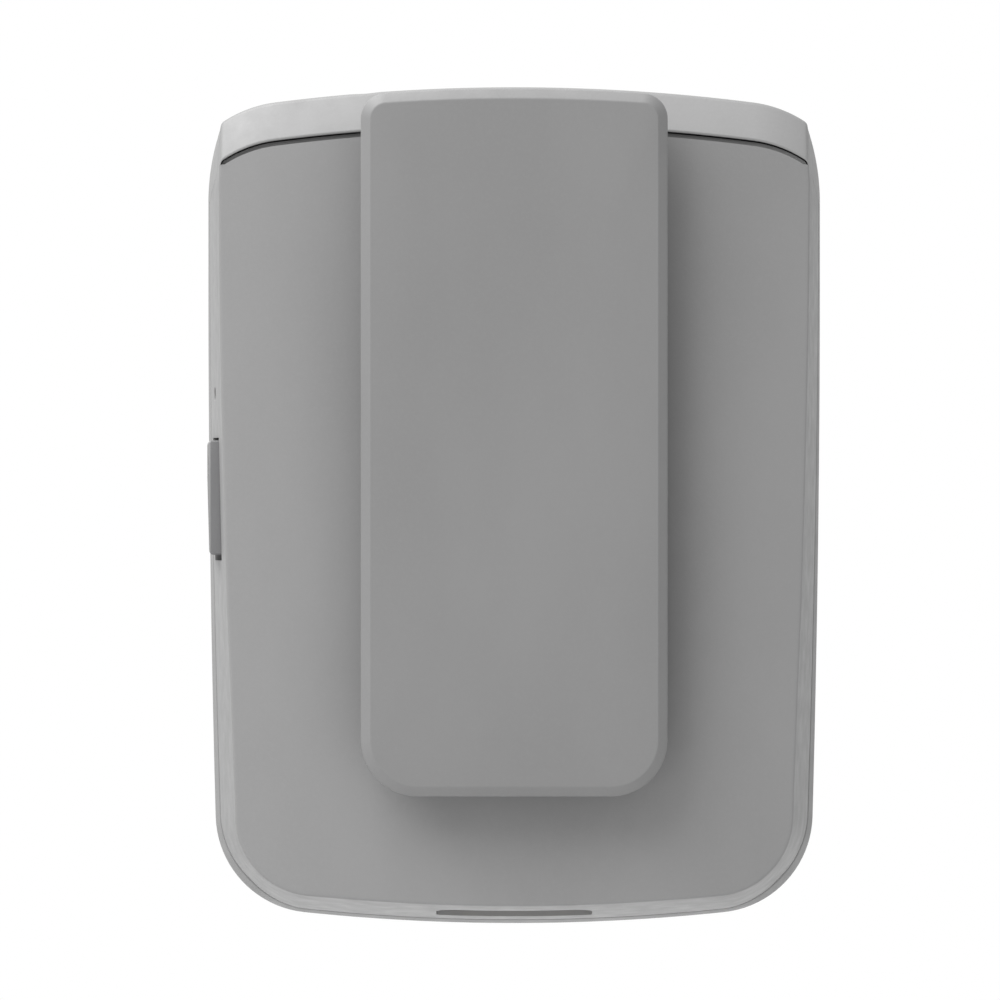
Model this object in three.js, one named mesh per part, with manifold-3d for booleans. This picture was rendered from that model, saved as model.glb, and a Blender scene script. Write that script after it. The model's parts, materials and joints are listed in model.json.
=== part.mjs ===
// A wireless bodypack transmitter with a spring belt clip on its rear, in millimetres.
// X runs across the case, +Z is up, and -Y is the rear, where the clip is.
// Every piece is drawn from the bottom of the case and its middle depth. The last group then
// moves the whole pack so that its origin lies on the flat seat where a belt rests.
import * as THREE from 'three';
import { mergeVertices } from 'three/addons/utils/BufferGeometryUtils.js';
import Module from 'manifold-3d';

const wasm = await Module();
wasm.setup();

// ---------------------------------------------------------------- driving dimensions
const GAP = 0.3; // left between pieces that touch
const OVERRUN = 4; // how far a cutting shape runs past what it cuts
const FAR = 150; // beyond the case on every side, for blocks that cut all of it
const SINK = 0.4; // how far shapes that are joined run into each other
const WALL = 1.8; // of both housings

const CASE = { halfWidth: 32.45, height: 88.6, widestZ: 68, rearY: -10.25, frontY: 10.25, partingY: 3 };
// Radii of the arcs that make the outline of the case. The side bends in above sideZ, and the
// shoulder takes over from the long top arc at shoulderX.
const ARC = { bottom: 215, foot: 10.5, lowerSide: 2090, side: 24, corner: 1.5, shoulder: 13, top: 200 };
const ARC_STEPS = { bottom: 5, foot: 5, lowerSide: 2, side: 3, corner: 2, shoulder: 3, top: 4 };
const BEND = { sideZ: 76.5, shoulderX: 25.3 };
const SMALLEST_CORNER = 1.5;

const REAR = { step: 0.35, draft: 1.6, corner: 4.2, flatHalf: 13, crownRadius: 75, topDrop: 4.3 };
const FRONT = { bevel: 1.2, faceWall: 1.8, topDrop: 4.05 };
const CAP = { band: 3.5, slopeDepth: 3, lip: 0.25, roof: 2.2, tailZ: 79.5, rearY: -8.25 };
const CAP_HOLLOW = { x: [-27, 27], y: [-3.5, 8.45] };
const HOOK = { places: [-24, 24], halfWidth: 2, y: [5.2, 6.6], toeY: 7.4, z: [79.6, 85.6], toeTopZ: 80.8 };
const TOP_CUT_Z = [75, 95]; // from the hollow under the top to above it
const SIDE_CUT_X = [-36, -26]; // from beside the case into its hollow
const PAD = { halfWidth: 9, z: [24, 56], proud: 0.2, root: 0.5 }; // the grip pad under the clip
const SEAL = { outerInset: 2.55, innerInset: 3, y: [2.6, 4.4] };

const BOARD = { rearY: -4, frontY: -3, inset: 3.6, cutY: [-6, 0], jackClearance: 0.6, wellTopZ: 5.8 };
const FRAME = { plateY: [0.3, 1.5], wallTopY: 8.15, z: [4.5, 60], halfWidth: 28, wall: 1, topCorner: 3 };
const BAY = { halfWidth: 27.6, bottomZ: 5.4, topZ: 57, bottomCorner: 8, topCorner: 3 };
const SCREW = { shank: 1, tip: 0.6, point: 0.6, hole: 1.3, head: 1.9, headHeight: 0.9, dome: 0.3 };
const CROSS = { reach: 1.1, halfWidth: 0.2, floor: 0.45 }; // the recess in a screw's head
const BOSS = { radius: 2.3, boreFloorY: -6.6, clipRadius: 2.6, clipEndY: -5.2 };
const SCREW_PLACES = [[-23, 9.5], [23, 9.5], [-23, 52.5], [23, 52.5]];
const CASE_SCREW_LENGTH = 7;
const CLIP_SCREW_LENGTH = 6;

const CHIPS = {
  signal_processor: { x: [-6, 6], topY: -1.5, z: [28, 40] },
  audio_codec: { x: [-22, -15], topY: -1.6, z: [58, 65] },
  charge_controller: { x: [-20, -15], topY: -1.7, z: [32, 37] },
};
const SHIELD = { x: [4, 19.5], rearY: -6, z: [50, 74] };
const ANTENNA = { footX: 24.4, outerX: 27.2, y: [-2.7, 2.2], thickness: 0.5, bottomZ: 61, height: 18 };

const JACK = { x: -16, y: -1, barrel: 3.2, collar: 3.6, mouth: 2.7, bore: 1.8, bottomZ: 70, splitZ: 83.6 };
const JACK_FLOOR = 2;
const COLLAR = { sunk: 0.25, chamfer: 0.3 };
const MUTE = { x: 13.8, y: -0.9, halfLength: 1.8, halfDepth: 1.9, travel: 3, z: [84.7, 87.6] };
const MUTE_FLANGE = { x: [8.4, 19.4], y: [-3.3, 3], z: [84.3, 84.95] };
const MUTE_STEM = { halfLength: 0.5, halfDepth: 0.6, z: [81.3, 84.8], slotMargin: 0.3 };
const MUTE_GROOVE = { halfWidth: 0.2, depth: 0.4, pitch: 1.1 };
const MUTE_BODY = { x: [8.5, 20.5], topY: 0.9, z: [76, 80.4] };
const LENS = { y: -1, radius: 0.9, bottomZ: 80, topZ: 88.2, places: { link_lens: -5, battery_lens: 5 } };
const POWER = { z: 71, length: 12, height: 6, topY: 10, flangeY: [6.9, 8.1], flangeWidth: 0.8 };
const POWER_STEM = { radius: 1.5, endY: 0 };
const POWER_SWITCH = { halfWidth: 3, topY: -0.8 };

const USB = { z: [41.5, 48.9], y: [-2.7, -0.1], x: [-30, -24.5], wall: 0.4, backWall: 1 };
const FLAP = { outerX: -32.5, innerX: -30.7, y: [-4.1, 1.3], z: [39, 51.2], hingeX: -31.9, hingeZ: 39.6 };
const POCKET_Z = [38.5, 51.5];
const FLAP_PLUG = { x: [-30.9, -29.2], y: [-2, -0.8], z: [42.4, 48] };
const WELL = { halfLength: 8.25, y: [-5.7, -0.2], ceilingZ: 2.6, contactX: [-5, 0, 5], contactY: -2.95 };
const WELL_BLOCK = { halfLength: 10, y: [-7.2, 0.9], z: [2.2, 3.4] };
const CONTACT = { radius: 1.1, tip: 0.2, height: 3, hole: 1.4, bottomZ: 2.4 };
const CHARGE_LENS = { x: [-31.2, -28.4], y: -1.4, z: 56.05, radius: 0.5 };

const PACK = { rearY: 3, splitY: 6.2, wall: 1.3, face: 1.3, floor: 0.9, bevel: 0.3, smallestCorner: 0.8 };
const CELL = { x: [-22, 22], y: [4.3, 8.6], z: [12.5, 45] };
const PACK_BOARD = { x: [-12, 12], y: [4.6, 5.4], z: [7, 11.6] };
const BATTERY_PAD = { halfWidth: 1.4, y: [3.1, 4.2], z: [7.6, 10.2], clearance: 0.3, holeDepth: 2 };
const LATCH = { halfWidth: 6, y: [8.1, 10], z: [49.6, 54.2], holeZ: [47.7, 54.5] };
const LATCH_SLIDE = { halfWidth: 7.6, y: [7.2, 8.6], z: [47.6, 55.1] };
const LATCH_GROOVE = { halfWidth: 4.6, floorY: 9.6, firstZ: 50.6, pitch: 1.2, height: 0.5 };
const PIN_BLOCK = { halfWidth: 8.7, topY: 1.9, z: [7.1, 10.7], windowMargin: 0.3 };
const BATTERY_PIN = { radius: 0.6, tip: 0.35, shoulder: 1.1, length: 1.6, y: 1.1, z: 8.9 };

const CLIP = { halfWidth: 16.2, bottomZ: 13.6, topZ: 88.3, thickness: 2.6, innerY: -15.1 };
const CLIP_EDGE = { bevel: 1, bevelDepth: 0.9, bottomCorner: 6, topCorner: 2.7 };
const EAR = { x: [9.6, 11.6], z: [61, 75], radius: 2.1 };
const TOOTH = { halfWidth: 12, rootZ: [14.9, 20.5], tipZ: [16.2, 17.4], reach: 0.4 };
const PIN = { y: -13, z: 68, radius: 1, halfLength: 12.3 };
const HINGE_CUT = { x: [-14, 14], y: [-14, -9] };
const BRACKET = { halfWidth: 9.2, thickness: 1, z: [59.5, 76.5] };
const BRACKET_LUG = { x: [6.4, 9.2], z: [64, 72], radius: 1.8 };
const CLIP_SCREW_SPACING = 5.5; // from the pin's height, up and down
const SPRING = { coil: 1.5, wire: 0.25, turns: 4.5, perTurn: 8, halfLength: 4.4, steps: 90 };
const SPRING_LEG = { y: -12.15, z: [60.5, 65], startZ: 64, endZ: 58 };
const SPRING_WINDOW = { halfWidth: 5.2, halfHeight: 2.5 };
// The middle of the grip pad, where a belt rests, is the origin of the whole pack.
const SEAT = { y: CASE.rearY - PAD.proud, z: (PAD.z[0] + PAD.z[1]) / 2 };

// ---------------------------------------------------------------- solids and cuts
function solid(geometry) {
  const bare = geometry.clone();
  bare.deleteAttribute('normal');
  bare.deleteAttribute('uv');
  const merged = mergeVertices(bare, 1e-4);
  const vertProperties = new Float32Array(merged.attributes.position.array);
  const triVerts = new Uint32Array(merged.index.array);
  return new wasm.Manifold(new wasm.Mesh({ numProp: 3, vertProperties, triVerts }));
}

function geometryOf(manifold) {
  const mesh = manifold.getMesh();
  const geometry = new THREE.BufferGeometry();
  geometry.setAttribute('position', new THREE.BufferAttribute(new Float32Array(mesh.vertProperties), 3));
  geometry.setIndex(new THREE.BufferAttribute(new Uint32Array(mesh.triVerts), 1));
  geometry.computeVertexNormals();
  return geometry;
}

function cut(base, ...tools) {
  return tools.reduce((body, tool) => body.subtract(solid(tool)), base);
}

function join(base, ...others) {
  return others.reduce((body, other) => body.add(solid(other)), base);
}

// A flat shape drawn in X and Z, made solid from yFrom to yTo.
function slab(shape, yFrom, yTo, curveSegments = 6) {
  const settings = { depth: yTo - yFrom, bevelEnabled: false, curveSegments };
  return new THREE.ExtrudeGeometry(shape, settings).rotateX(Math.PI / 2).translate(0, yTo, 0);
}

// A slab with a straight bevel round both of its faces, inside the shape's outline.
function bevelledSlab(shape, yFrom, yTo, bevelSize, bevelThickness, curveSegments = 6) {
  const settings = {
    depth: yTo - yFrom - 2 * bevelThickness,
    bevelThickness,
    bevelSize,
    bevelOffset: -bevelSize,
    bevelSegments: 1,
    curveSegments,
  };
  const geometry = new THREE.ExtrudeGeometry(shape, settings);
  return geometry.rotateX(Math.PI / 2).translate(0, yTo - bevelThickness, 0);
}

// A flat shape drawn in Y and Z, made solid from xFrom to xTo.
function plate(shape, xFrom, xTo, curveSegments = 6) {
  const settings = { depth: xTo - xFrom, bevelEnabled: false, curveSegments };
  const geometry = new THREE.ExtrudeGeometry(shape, settings);
  const basis = new THREE.Matrix4().makeBasis(
    new THREE.Vector3(0, 1, 0),
    new THREE.Vector3(0, 0, 1),
    new THREE.Vector3(1, 0, 0),
  );
  return geometry.applyMatrix4(basis).translate(xFrom, 0, 0);
}

function block(x, y, z) {
  const box = new THREE.BoxGeometry(x[1] - x[0], y[1] - y[0], z[1] - z[0]);
  return box.translate((x[0] + x[1]) / 2, (y[0] + y[1]) / 2, (z[0] + z[1]) / 2);
}

function centred(middle, half) {
  return [middle - half, middle + half];
}

// A block across the whole case, for cutting away all that lies in a range of depth and height.
function acrossCase(y, z) {
  return block([-FAR, FAR], y, z);
}

// A straight round rod between two points on a line along the named axis.
function rod(radius, axis, from, to, place, sides = 16) {
  const geometry = new THREE.CylinderGeometry(radius, radius, to - from, sides);
  const middle = (from + to) / 2;
  if (axis === 'x') return geometry.rotateZ(-Math.PI / 2).translate(middle, place[0], place[1]);
  if (axis === 'y') return geometry.translate(place[0], middle, place[1]);
  return geometry.rotateX(Math.PI / 2).translate(place[0], place[1], middle);
}

// A turned piece: its profile is [radius, height] pairs, and its axis is turned to Z.
function turned(profile, sides = 16) {
  const points = profile.map(([radius, height]) => new THREE.Vector2(radius, height));
  return new THREE.LatheGeometry(points, sides).rotateX(Math.PI / 2);
}

function roundedRectangle(halfWidth, bottom, top, bottomCorner, topCorner) {
  const shape = new THREE.Shape();
  shape.absarc(halfWidth - bottomCorner, bottom + bottomCorner, bottomCorner, -Math.PI / 2, 0);
  shape.absarc(halfWidth - topCorner, top - topCorner, topCorner, 0, Math.PI / 2);
  shape.absarc(topCorner - halfWidth, top - topCorner, topCorner, Math.PI / 2, Math.PI);
  shape.absarc(bottomCorner - halfWidth, bottom + bottomCorner, bottomCorner, Math.PI, 1.5 * Math.PI);
  return shape;
}

// ---------------------------------------------------------------- outline of the case
// The centre of a corner arc that lies inside two large circles and touches both.
function cornerCentre(first, second, radius, upper) {
  const reachFirst = first.radius - radius;
  const reachSecond = second.radius - radius;
  const between = new THREE.Vector2().subVectors(second.centre, first.centre);
  const distance = between.length();
  const along = (reachFirst ** 2 - reachSecond ** 2 + distance ** 2) / (2 * distance);
  const across = Math.sqrt(reachFirst ** 2 - along ** 2);
  const unit = between.divideScalar(distance);
  const foot = first.centre.clone().addScaledVector(unit, along);
  const side = new THREE.Vector2(-unit.y, unit.x).multiplyScalar(across);
  const candidates = [foot.clone().add(side), foot.clone().sub(side)];
  candidates.sort((a, b) => a.y - b.y);
  return candidates[upper ? 1 : 0];
}

function directionFrom(circle, point) {
  return Math.atan2(point.y - circle.centre.y, point.x - circle.centre.x);
}

function arcPoints(centre, radius, from, to, steps) {
  const points = [];
  for (let i = 0; i < steps; i += 1) {
    const angle = from + ((to - from) * i) / steps;
    points.push(new THREE.Vector2(centre.x + radius * Math.cos(angle), centre.y + radius * Math.sin(angle)));
  }
  return points;
}

// The right half runs from the middle of the bottom to the crown as arcs that flow into each
// other, and the left half mirrors it. An inset keeps the centres and shortens the radii.
function casingOutline(inset = 0, crown = CASE.height, cornerRadius = ARC.corner) {
  const circle = (x, z, radius) => ({ centre: new THREE.Vector2(x, z), radius });
  const bottom = circle(0, ARC.bottom, ARC.bottom);
  const lower = circle(CASE.halfWidth - ARC.lowerSide, CASE.widestZ, ARC.lowerSide);
  const side = circle(CASE.halfWidth - ARC.side, BEND.sideZ, ARC.side);
  const top = circle(0, crown - ARC.top, ARC.top);
  const lean = Math.asin(BEND.shoulderX / ARC.top);
  const reach = ARC.top - ARC.shoulder;
  const shoulder = circle(reach * Math.sin(lean), top.centre.y + reach * Math.cos(lean), ARC.shoulder);
  const footRadius = Math.max(ARC.foot, inset + SMALLEST_CORNER);
  const headRadius = Math.max(cornerRadius, inset + SMALLEST_CORNER);
  const foot = cornerCentre(bottom, lower, footRadius, false);
  const head = cornerCentre(side, shoulder, headRadius, true);
  const footFrom = directionFrom(bottom, foot);
  const footTo = directionFrom(lower, foot);
  const headFrom = directionFrom(side, head);
  const headTo = directionFrom(shoulder, head);
  const right = [
    ...arcPoints(bottom.centre, bottom.radius - inset, -Math.PI / 2, footFrom, ARC_STEPS.bottom),
    ...arcPoints(foot, footRadius - inset, footFrom, footTo, ARC_STEPS.foot),
    ...arcPoints(lower.centre, lower.radius - inset, footTo, 0, ARC_STEPS.lowerSide),
    new THREE.Vector2(CASE.halfWidth - inset, CASE.widestZ),
    ...arcPoints(side.centre, side.radius - inset, 0, headFrom, ARC_STEPS.side),
    ...arcPoints(head, headRadius - inset, headFrom, headTo, ARC_STEPS.corner),
    ...arcPoints(shoulder.centre, shoulder.radius - inset, headTo, Math.PI / 2 - lean, ARC_STEPS.shoulder),
    ...arcPoints(top.centre, top.radius - inset, Math.PI / 2 - lean, Math.PI / 2, ARC_STEPS.top),
    new THREE.Vector2(0, crown - inset),
  ];
  const left = right.slice(1, -1).reverse().map((point) => new THREE.Vector2(-point.x, point.y));
  return new THREE.Shape([...right, ...left]);
}

// What the cap leaves to a housing: all that is under its tails, and under its band between them.
function underCap(topDrop) {
  const band = slab(casingOutline(), -FAR, FAR).translate(0, 0, -topDrop);
  return join(solid(band), acrossCase([-FAR, FAR], [-FAR, CAP.tailZ - GAP]));
}

// ---------------------------------------------------------------- rear housing
// The rear face seen from above: flat behind the clip, then falling away towards both sides.
function crownProfile(inset, frontY) {
  const reach = CASE.halfWidth + OVERRUN;
  const rearY = CASE.rearY + inset;
  const steps = 5;
  const right = [];
  for (let i = 0; i <= steps; i += 1) {
    const past = ((reach - REAR.flatHalf) * i) / steps;
    const fall = REAR.crownRadius - Math.sqrt(REAR.crownRadius ** 2 - past ** 2);
    right.push(new THREE.Vector2(REAR.flatHalf + past, rearY + fall));
  }
  const left = right.map((point) => new THREE.Vector2(-point.x, point.y)).reverse();
  const front = [new THREE.Vector2(reach, frontY), new THREE.Vector2(-reach, frontY)];
  return new THREE.Shape([...left, ...right, ...front]);
}

// Widest at the parting plane and drawn in towards the rear, as a moulding leaves its tool. The
// outer skin starts higher, so that it still reaches up under the cap where it is drawn in most.
function rearBlank(inset, frontY) {
  const crown = inset > 0 ? CASE.height - REAR.topDrop : CASE.height + REAR.step + REAR.draft;
  const outline = casingOutline(REAR.step + inset, crown, REAR.corner);
  const taperDepth = CASE.partingY - CASE.rearY;
  const drafted = bevelledSlab(
    outline,
    CASE.partingY - taperDepth,
    CASE.partingY + OVERRUN + taperDepth,
    REAR.draft,
    taperDepth,
  );
  const column = new THREE.ExtrudeGeometry(crownProfile(inset, frontY), {
    depth: CASE.height + 2 * OVERRUN,
    bevelEnabled: false,
  }).translate(0, 0, -OVERRUN);
  return solid(drafted).intersect(solid(column));
}

function rearHousing() {
  const skin = rearBlank(0, CASE.partingY).intersect(underCap(REAR.topDrop));
  const shell = skin.subtract(rearBlank(WALL, CASE.partingY + 1));
  const bossRoot = CASE.rearY + WALL - SINK;
  const bosses = SCREW_PLACES.map((place) => rod(BOSS.radius, 'y', bossRoot, 0, place, 14));
  const clipBossY = [bossRoot, BOSS.clipEndY];
  const clipBosses = clipScrewHeights().map((z) => rod(BOSS.clipRadius, 'y', ...clipBossY, [0, z], 14));
  const wellBlock = block(centred(0, WELL_BLOCK.halfLength), WELL_BLOCK.y, WELL_BLOCK.z);
  const pad = block(centred(0, PAD.halfWidth), [SEAT.y, CASE.rearY + PAD.root], PAD.z);
  const solidShell = join(shell, ...bosses, ...clipBosses, wellBlock, pad);
  const bossBores = SCREW_PLACES.map((place) => rod(SCREW.hole, 'y', BOSS.boreFloorY, OVERRUN, place, 12));
  const clipBores = clipScrewHeights().map((z) => rod(SCREW.hole, 'y', -FAR, -OVERRUN, [0, z], 12));
  const well = block(centred(0, WELL.halfLength), WELL.y, [-OVERRUN, WELL.ceilingZ]);
  const contactHoles = WELL.contactX.map((x) => rod(CONTACT.hole, 'z', 0, OVERRUN, [x, WELL.contactY], 12));
  const pocketX = [SIDE_CUT_X[0], FLAP.innerX + GAP];
  const flapPocket = block(pocketX, [FLAP.y[0] - GAP, FLAP.y[1] + GAP], POCKET_Z);
  const usbHole = block(SIDE_CUT_X, [USB.y[0] - GAP, USB.y[1] + GAP], [USB.z[0] - GAP, USB.z[1] + GAP]);
  const lensHole = rod(CHARGE_LENS.radius + GAP, 'x', ...SIDE_CUT_X, [CHARGE_LENS.y, CHARGE_LENS.z], 12);
  const jackHole = rod(JACK.collar + GAP, 'z', ...TOP_CUT_Z, [JACK.x, JACK.y], 20);
  const stemReach = MUTE_STEM.halfLength + MUTE_STEM.slotMargin;
  const stemX = [MUTE.x - stemReach, MUTE.x + MUTE.travel + stemReach];
  const stemY = centred(MUTE.y, MUTE_STEM.halfDepth + MUTE_STEM.slotMargin);
  return cut(
    solidShell,
    ...bossBores,
    ...clipBores,
    well,
    ...contactHoles,
    flapPocket,
    usbHole,
    lensHole,
    jackHole,
    block(stemX, stemY, TOP_CUT_Z),
    ...lightPipeHoles(),
  );
}

function lightPipeHoles() {
  return Object.values(LENS.places).map((x) => rod(LENS.radius + GAP, 'z', ...TOP_CUT_Z, [x, LENS.y], 12));
}

// ---------------------------------------------------------------- front housing and cap
function frontBlank(inset, frontY) {
  const crown = inset > 0 ? CASE.height - FRONT.topDrop : CASE.height;
  const outline = casingOutline(inset, crown);
  const whole = bevelledSlab(outline, CASE.partingY - OVERRUN, frontY, FRONT.bevel, FRONT.bevel);
  return cut(solid(whole), acrossCase([-FAR, CASE.partingY + GAP], [-FAR, FAR]));
}

function frontHousing() {
  const hollow = frontBlank(WALL, CASE.frontY - FRONT.faceWall);
  const opening = slab(casingOutline(WALL, CASE.height - FRONT.topDrop), CASE.partingY, CASE.partingY + 1);
  const skin = frontBlank(0, CASE.frontY).intersect(underCap(FRONT.topDrop));
  const shell = cut(skin.subtract(hollow), opening);
  const faceCut = [CASE.frontY - FRONT.faceWall - 1, CASE.frontY + 1];
  const bay = roundedRectangle(BAY.halfWidth, BAY.bottomZ, BAY.topZ, BAY.bottomCorner, BAY.topCorner);
  const buttonHole = slab(pill(POWER.length + 2 * GAP, POWER.height + 2 * GAP), ...faceCut, 5);
  const hookSlots = HOOK.places.map((x) =>
    block(centred(x, HOOK.halfWidth + GAP), [HOOK.y[0] - GAP, HOOK.toeY + GAP], TOP_CUT_Z),
  );
  return cut(shell, slab(bay, ...faceCut, 4), buttonHole.translate(0, 0, POWER.z), ...hookSlots);
}

function pill(length, height) {
  const radius = height / 2;
  const reach = length / 2 - radius;
  const shape = new THREE.Shape();
  shape.absarc(reach, 0, radius, -Math.PI / 2, Math.PI / 2);
  shape.absarc(-reach, 0, radius, Math.PI / 2, 1.5 * Math.PI);
  return shape;
}

// The band that slopes down to the rear is the case's own outline, moved down as it goes back.
function capSlope() {
  const slopeTop = CAP.rearY + CAP.slopeDepth;
  const fall = CAP.band / CAP.slopeDepth;
  const shear = new THREE.Matrix4().set(
    1, 0, 0, 0,
    0, 1, 0, 0,
    0, fall, 1, -fall * slopeTop,
    0, 0, 0, 1,
  );
  return slab(casingOutline(), CAP.rearY, slopeTop).applyMatrix4(shear);
}

function topCap() {
  const slopeTop = CAP.rearY + CAP.slopeDepth;
  const whole = bevelledSlab(casingOutline(), slopeTop - OVERRUN, CASE.frontY, FRONT.bevel, FRONT.bevel);
  const straight = cut(solid(whole), acrossCase([-FAR, slopeTop], [-FAR, FAR]));
  const below = slab(casingOutline(), -FAR, FAR).translate(0, 0, -CAP.band - CAP.lip);
  const body = cut(join(straight, capSlope()), below, acrossCase([-FAR, FAR], [-FAR, CAP.tailZ]));
  const hollow = slab(casingOutline(CAP.roof), ...CAP_HOLLOW.y);
  const middle = block(CAP_HOLLOW.x, [-FAR, FAR], TOP_CUT_Z);
  const hollowed = body.subtract(solid(hollow).intersect(solid(middle)));
  const hooks = HOOK.places.flatMap((x) => [
    block(centred(x, HOOK.halfWidth), HOOK.y, HOOK.z),
    block(centred(x, HOOK.halfWidth), [HOOK.y[0], HOOK.toeY], [HOOK.z[0], HOOK.toeTopZ]),
  ]);
  const jackHole = rod(JACK.collar + GAP, 'z', ...TOP_CUT_Z, [JACK.x, JACK.y], 20);
  const slotX = [MUTE.x - MUTE.halfLength - GAP, MUTE.x + MUTE.halfLength + MUTE.travel + GAP];
  const slot = block(slotX, centred(MUTE.y, MUTE.halfDepth + GAP), TOP_CUT_Z);
  return cut(join(hollowed, ...hooks), jackHole, slot, ...lightPipeHoles());
}

function caseSeal() {
  const crown = CASE.height - REAR.topDrop;
  const ring = casingOutline(SEAL.outerInset, crown);
  ring.holes.push(casingOutline(SEAL.innerInset, crown));
  return slab(ring, ...SEAL.y);
}

// ---------------------------------------------------------------- frame and electronics
function innerFrame() {
  const bayShape = (grow) => roundedRectangle(
    BAY.halfWidth + grow,
    BAY.bottomZ - grow,
    BAY.topZ + grow,
    BAY.bottomCorner + grow,
    BAY.topCorner + grow,
  );
  const ring = bayShape(FRAME.wall);
  ring.holes.push(bayShape(0));
  const walls = slab(ring, FRAME.plateY[0], FRAME.wallTopY, 4);
  const floor = roundedRectangle(FRAME.halfWidth, ...FRAME.z, BAY.bottomCorner + SINK, FRAME.topCorner);
  const body = join(solid(walls), slab(floor, ...FRAME.plateY, 4));
  const holes = SCREW_PLACES.map((place) => rod(SCREW.hole, 'y', -OVERRUN, OVERRUN, place, 12));
  const { halfWidth, z, windowMargin } = PIN_BLOCK;
  const windowZ = [z[0] - windowMargin, z[1] + windowMargin];
  return cut(body, ...holes, block(centred(0, halfWidth + windowMargin), [-OVERRUN, PACK.rearY], windowZ));
}

function mainBoard() {
  const outline = casingOutline(BOARD.inset, CASE.height - REAR.topDrop);
  const board = solid(slab(outline, BOARD.rearY, BOARD.frontY));
  const bossHoles = SCREW_PLACES.map((place) => rod(BOSS.radius + GAP, 'y', ...BOARD.cutY, place, 14));
  const jackX = centred(JACK.x, JACK.barrel + BOARD.jackClearance);
  const jackNotch = block(jackX, BOARD.cutY, [JACK.bottomZ - BOARD.jackClearance, FAR]);
  const wellNotch = block(centred(0, WELL_BLOCK.halfLength + 0.5), BOARD.cutY, [0, BOARD.wellTopZ]);
  return cut(board, ...bossHoles, jackNotch, wellNotch);
}

// One side antenna: a bent strip that stands on the board beside the wall of the case.
function antenna(side) {
  const { footX, outerX, y, thickness, bottomZ, height } = ANTENNA;
  const strip = [
    [footX, y[0]],
    [outerX, y[0]],
    [outerX, y[1]],
    [outerX - thickness, y[1]],
    [outerX - thickness, y[0] + thickness],
    [footX, y[0] + thickness],
  ];
  const shape = new THREE.Shape(strip.map(([x, depth]) => new THREE.Vector2(x * side, depth)));
  return new THREE.ExtrudeGeometry(shape, { depth: height, bevelEnabled: false }).translate(0, 0, bottomZ);
}

function jackSocket() {
  const top = JACK.splitZ;
  const floor = JACK.bottomZ;
  const profile = [
    [0, floor],
    [JACK.barrel, floor],
    [JACK.barrel, top],
    [JACK.bore, top],
    [JACK.bore, floor + JACK_FLOOR],
    [0, floor + JACK_FLOOR],
  ];
  return turned(profile, 20);
}

function jackCollar() {
  const top = CASE.height - JACK.x ** 2 / (2 * ARC.top) - COLLAR.sunk;
  const bottom = JACK.splitZ + GAP;
  const { chamfer } = COLLAR;
  const profile = [
    [JACK.mouth, bottom],
    [JACK.collar, bottom],
    [JACK.collar, top - chamfer],
    [JACK.collar - chamfer, top],
    [JACK.mouth + chamfer, top],
    [JACK.mouth, top - chamfer],
    [JACK.mouth, bottom],
  ];
  return turned(profile, 20);
}

function muteKnob() {
  const knob = block(centred(MUTE.x, MUTE.halfLength), centred(MUTE.y, MUTE.halfDepth), MUTE.z);
  const flange = block(MUTE_FLANGE.x, MUTE_FLANGE.y, MUTE_FLANGE.z);
  const stemX = centred(MUTE.x, MUTE_STEM.halfLength);
  const stem = block(stemX, centred(MUTE.y, MUTE_STEM.halfDepth), MUTE_STEM.z);
  const grooves = [-1, 0, 1].map((step) => {
    const x = centred(MUTE.x + step * MUTE_GROOVE.pitch, MUTE_GROOVE.halfWidth);
    return block(x, [-OVERRUN, OVERRUN], [MUTE.z[1] - MUTE_GROOVE.depth, FAR]);
  });
  return cut(join(solid(knob), flange, stem), ...grooves);
}

function powerButton() {
  const { length, height, flangeY, flangeWidth, topY } = POWER;
  const cap = slab(pill(length, height), flangeY[1] - SINK, topY, 5);
  const flange = slab(pill(length + 2 * flangeWidth, height + 2 * flangeWidth), ...flangeY, 5);
  const stem = rod(POWER_STEM.radius, 'y', POWER_STEM.endY, flangeY[0] + SINK, [0, 0], 12);
  return join(solid(cap), flange, stem);
}

// ---------------------------------------------------------------- USB socket and its cover
function usbSocket() {
  const shell = block(USB.x, USB.y, USB.z);
  const mouth = block(
    [USB.x[0] - 1, USB.x[1] - USB.backWall],
    [USB.y[0] + USB.wall, USB.y[1] - USB.wall],
    [USB.z[0] + USB.wall, USB.z[1] - USB.wall],
  );
  return cut(solid(shell), mouth);
}

// Drawn in X and Z. The lower end is round about the hinge line, so it turns in its pocket.
function usbCover() {
  const radius = FLAP.hingeX - FLAP.outerX;
  const shape = new THREE.Shape();
  shape.absarc(FLAP.hingeX, FLAP.hingeZ, radius, Math.PI, 1.75 * Math.PI);
  shape.lineTo(FLAP.innerX, FLAP.hingeZ + 1);
  shape.lineTo(FLAP.innerX, FLAP.z[1]);
  shape.lineTo(FLAP.outerX + radius, FLAP.z[1]);
  shape.absarc(FLAP.hingeX, FLAP.z[1] - radius, radius, Math.PI / 2, Math.PI);
  const lid = slab(shape, FLAP.y[0], FLAP.y[1], 4);
  return join(solid(lid), block(FLAP_PLUG.x, FLAP_PLUG.y, FLAP_PLUG.z));
}

// ---------------------------------------------------------------- battery pack
function packOutline(inset) {
  return roundedRectangle(
    BAY.halfWidth - GAP - inset,
    BAY.bottomZ + GAP + inset,
    BAY.topZ - GAP - inset,
    BAY.bottomCorner - GAP - inset,
    Math.max(BAY.topCorner - GAP - inset, PACK.smallestCorner),
  );
}

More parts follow.
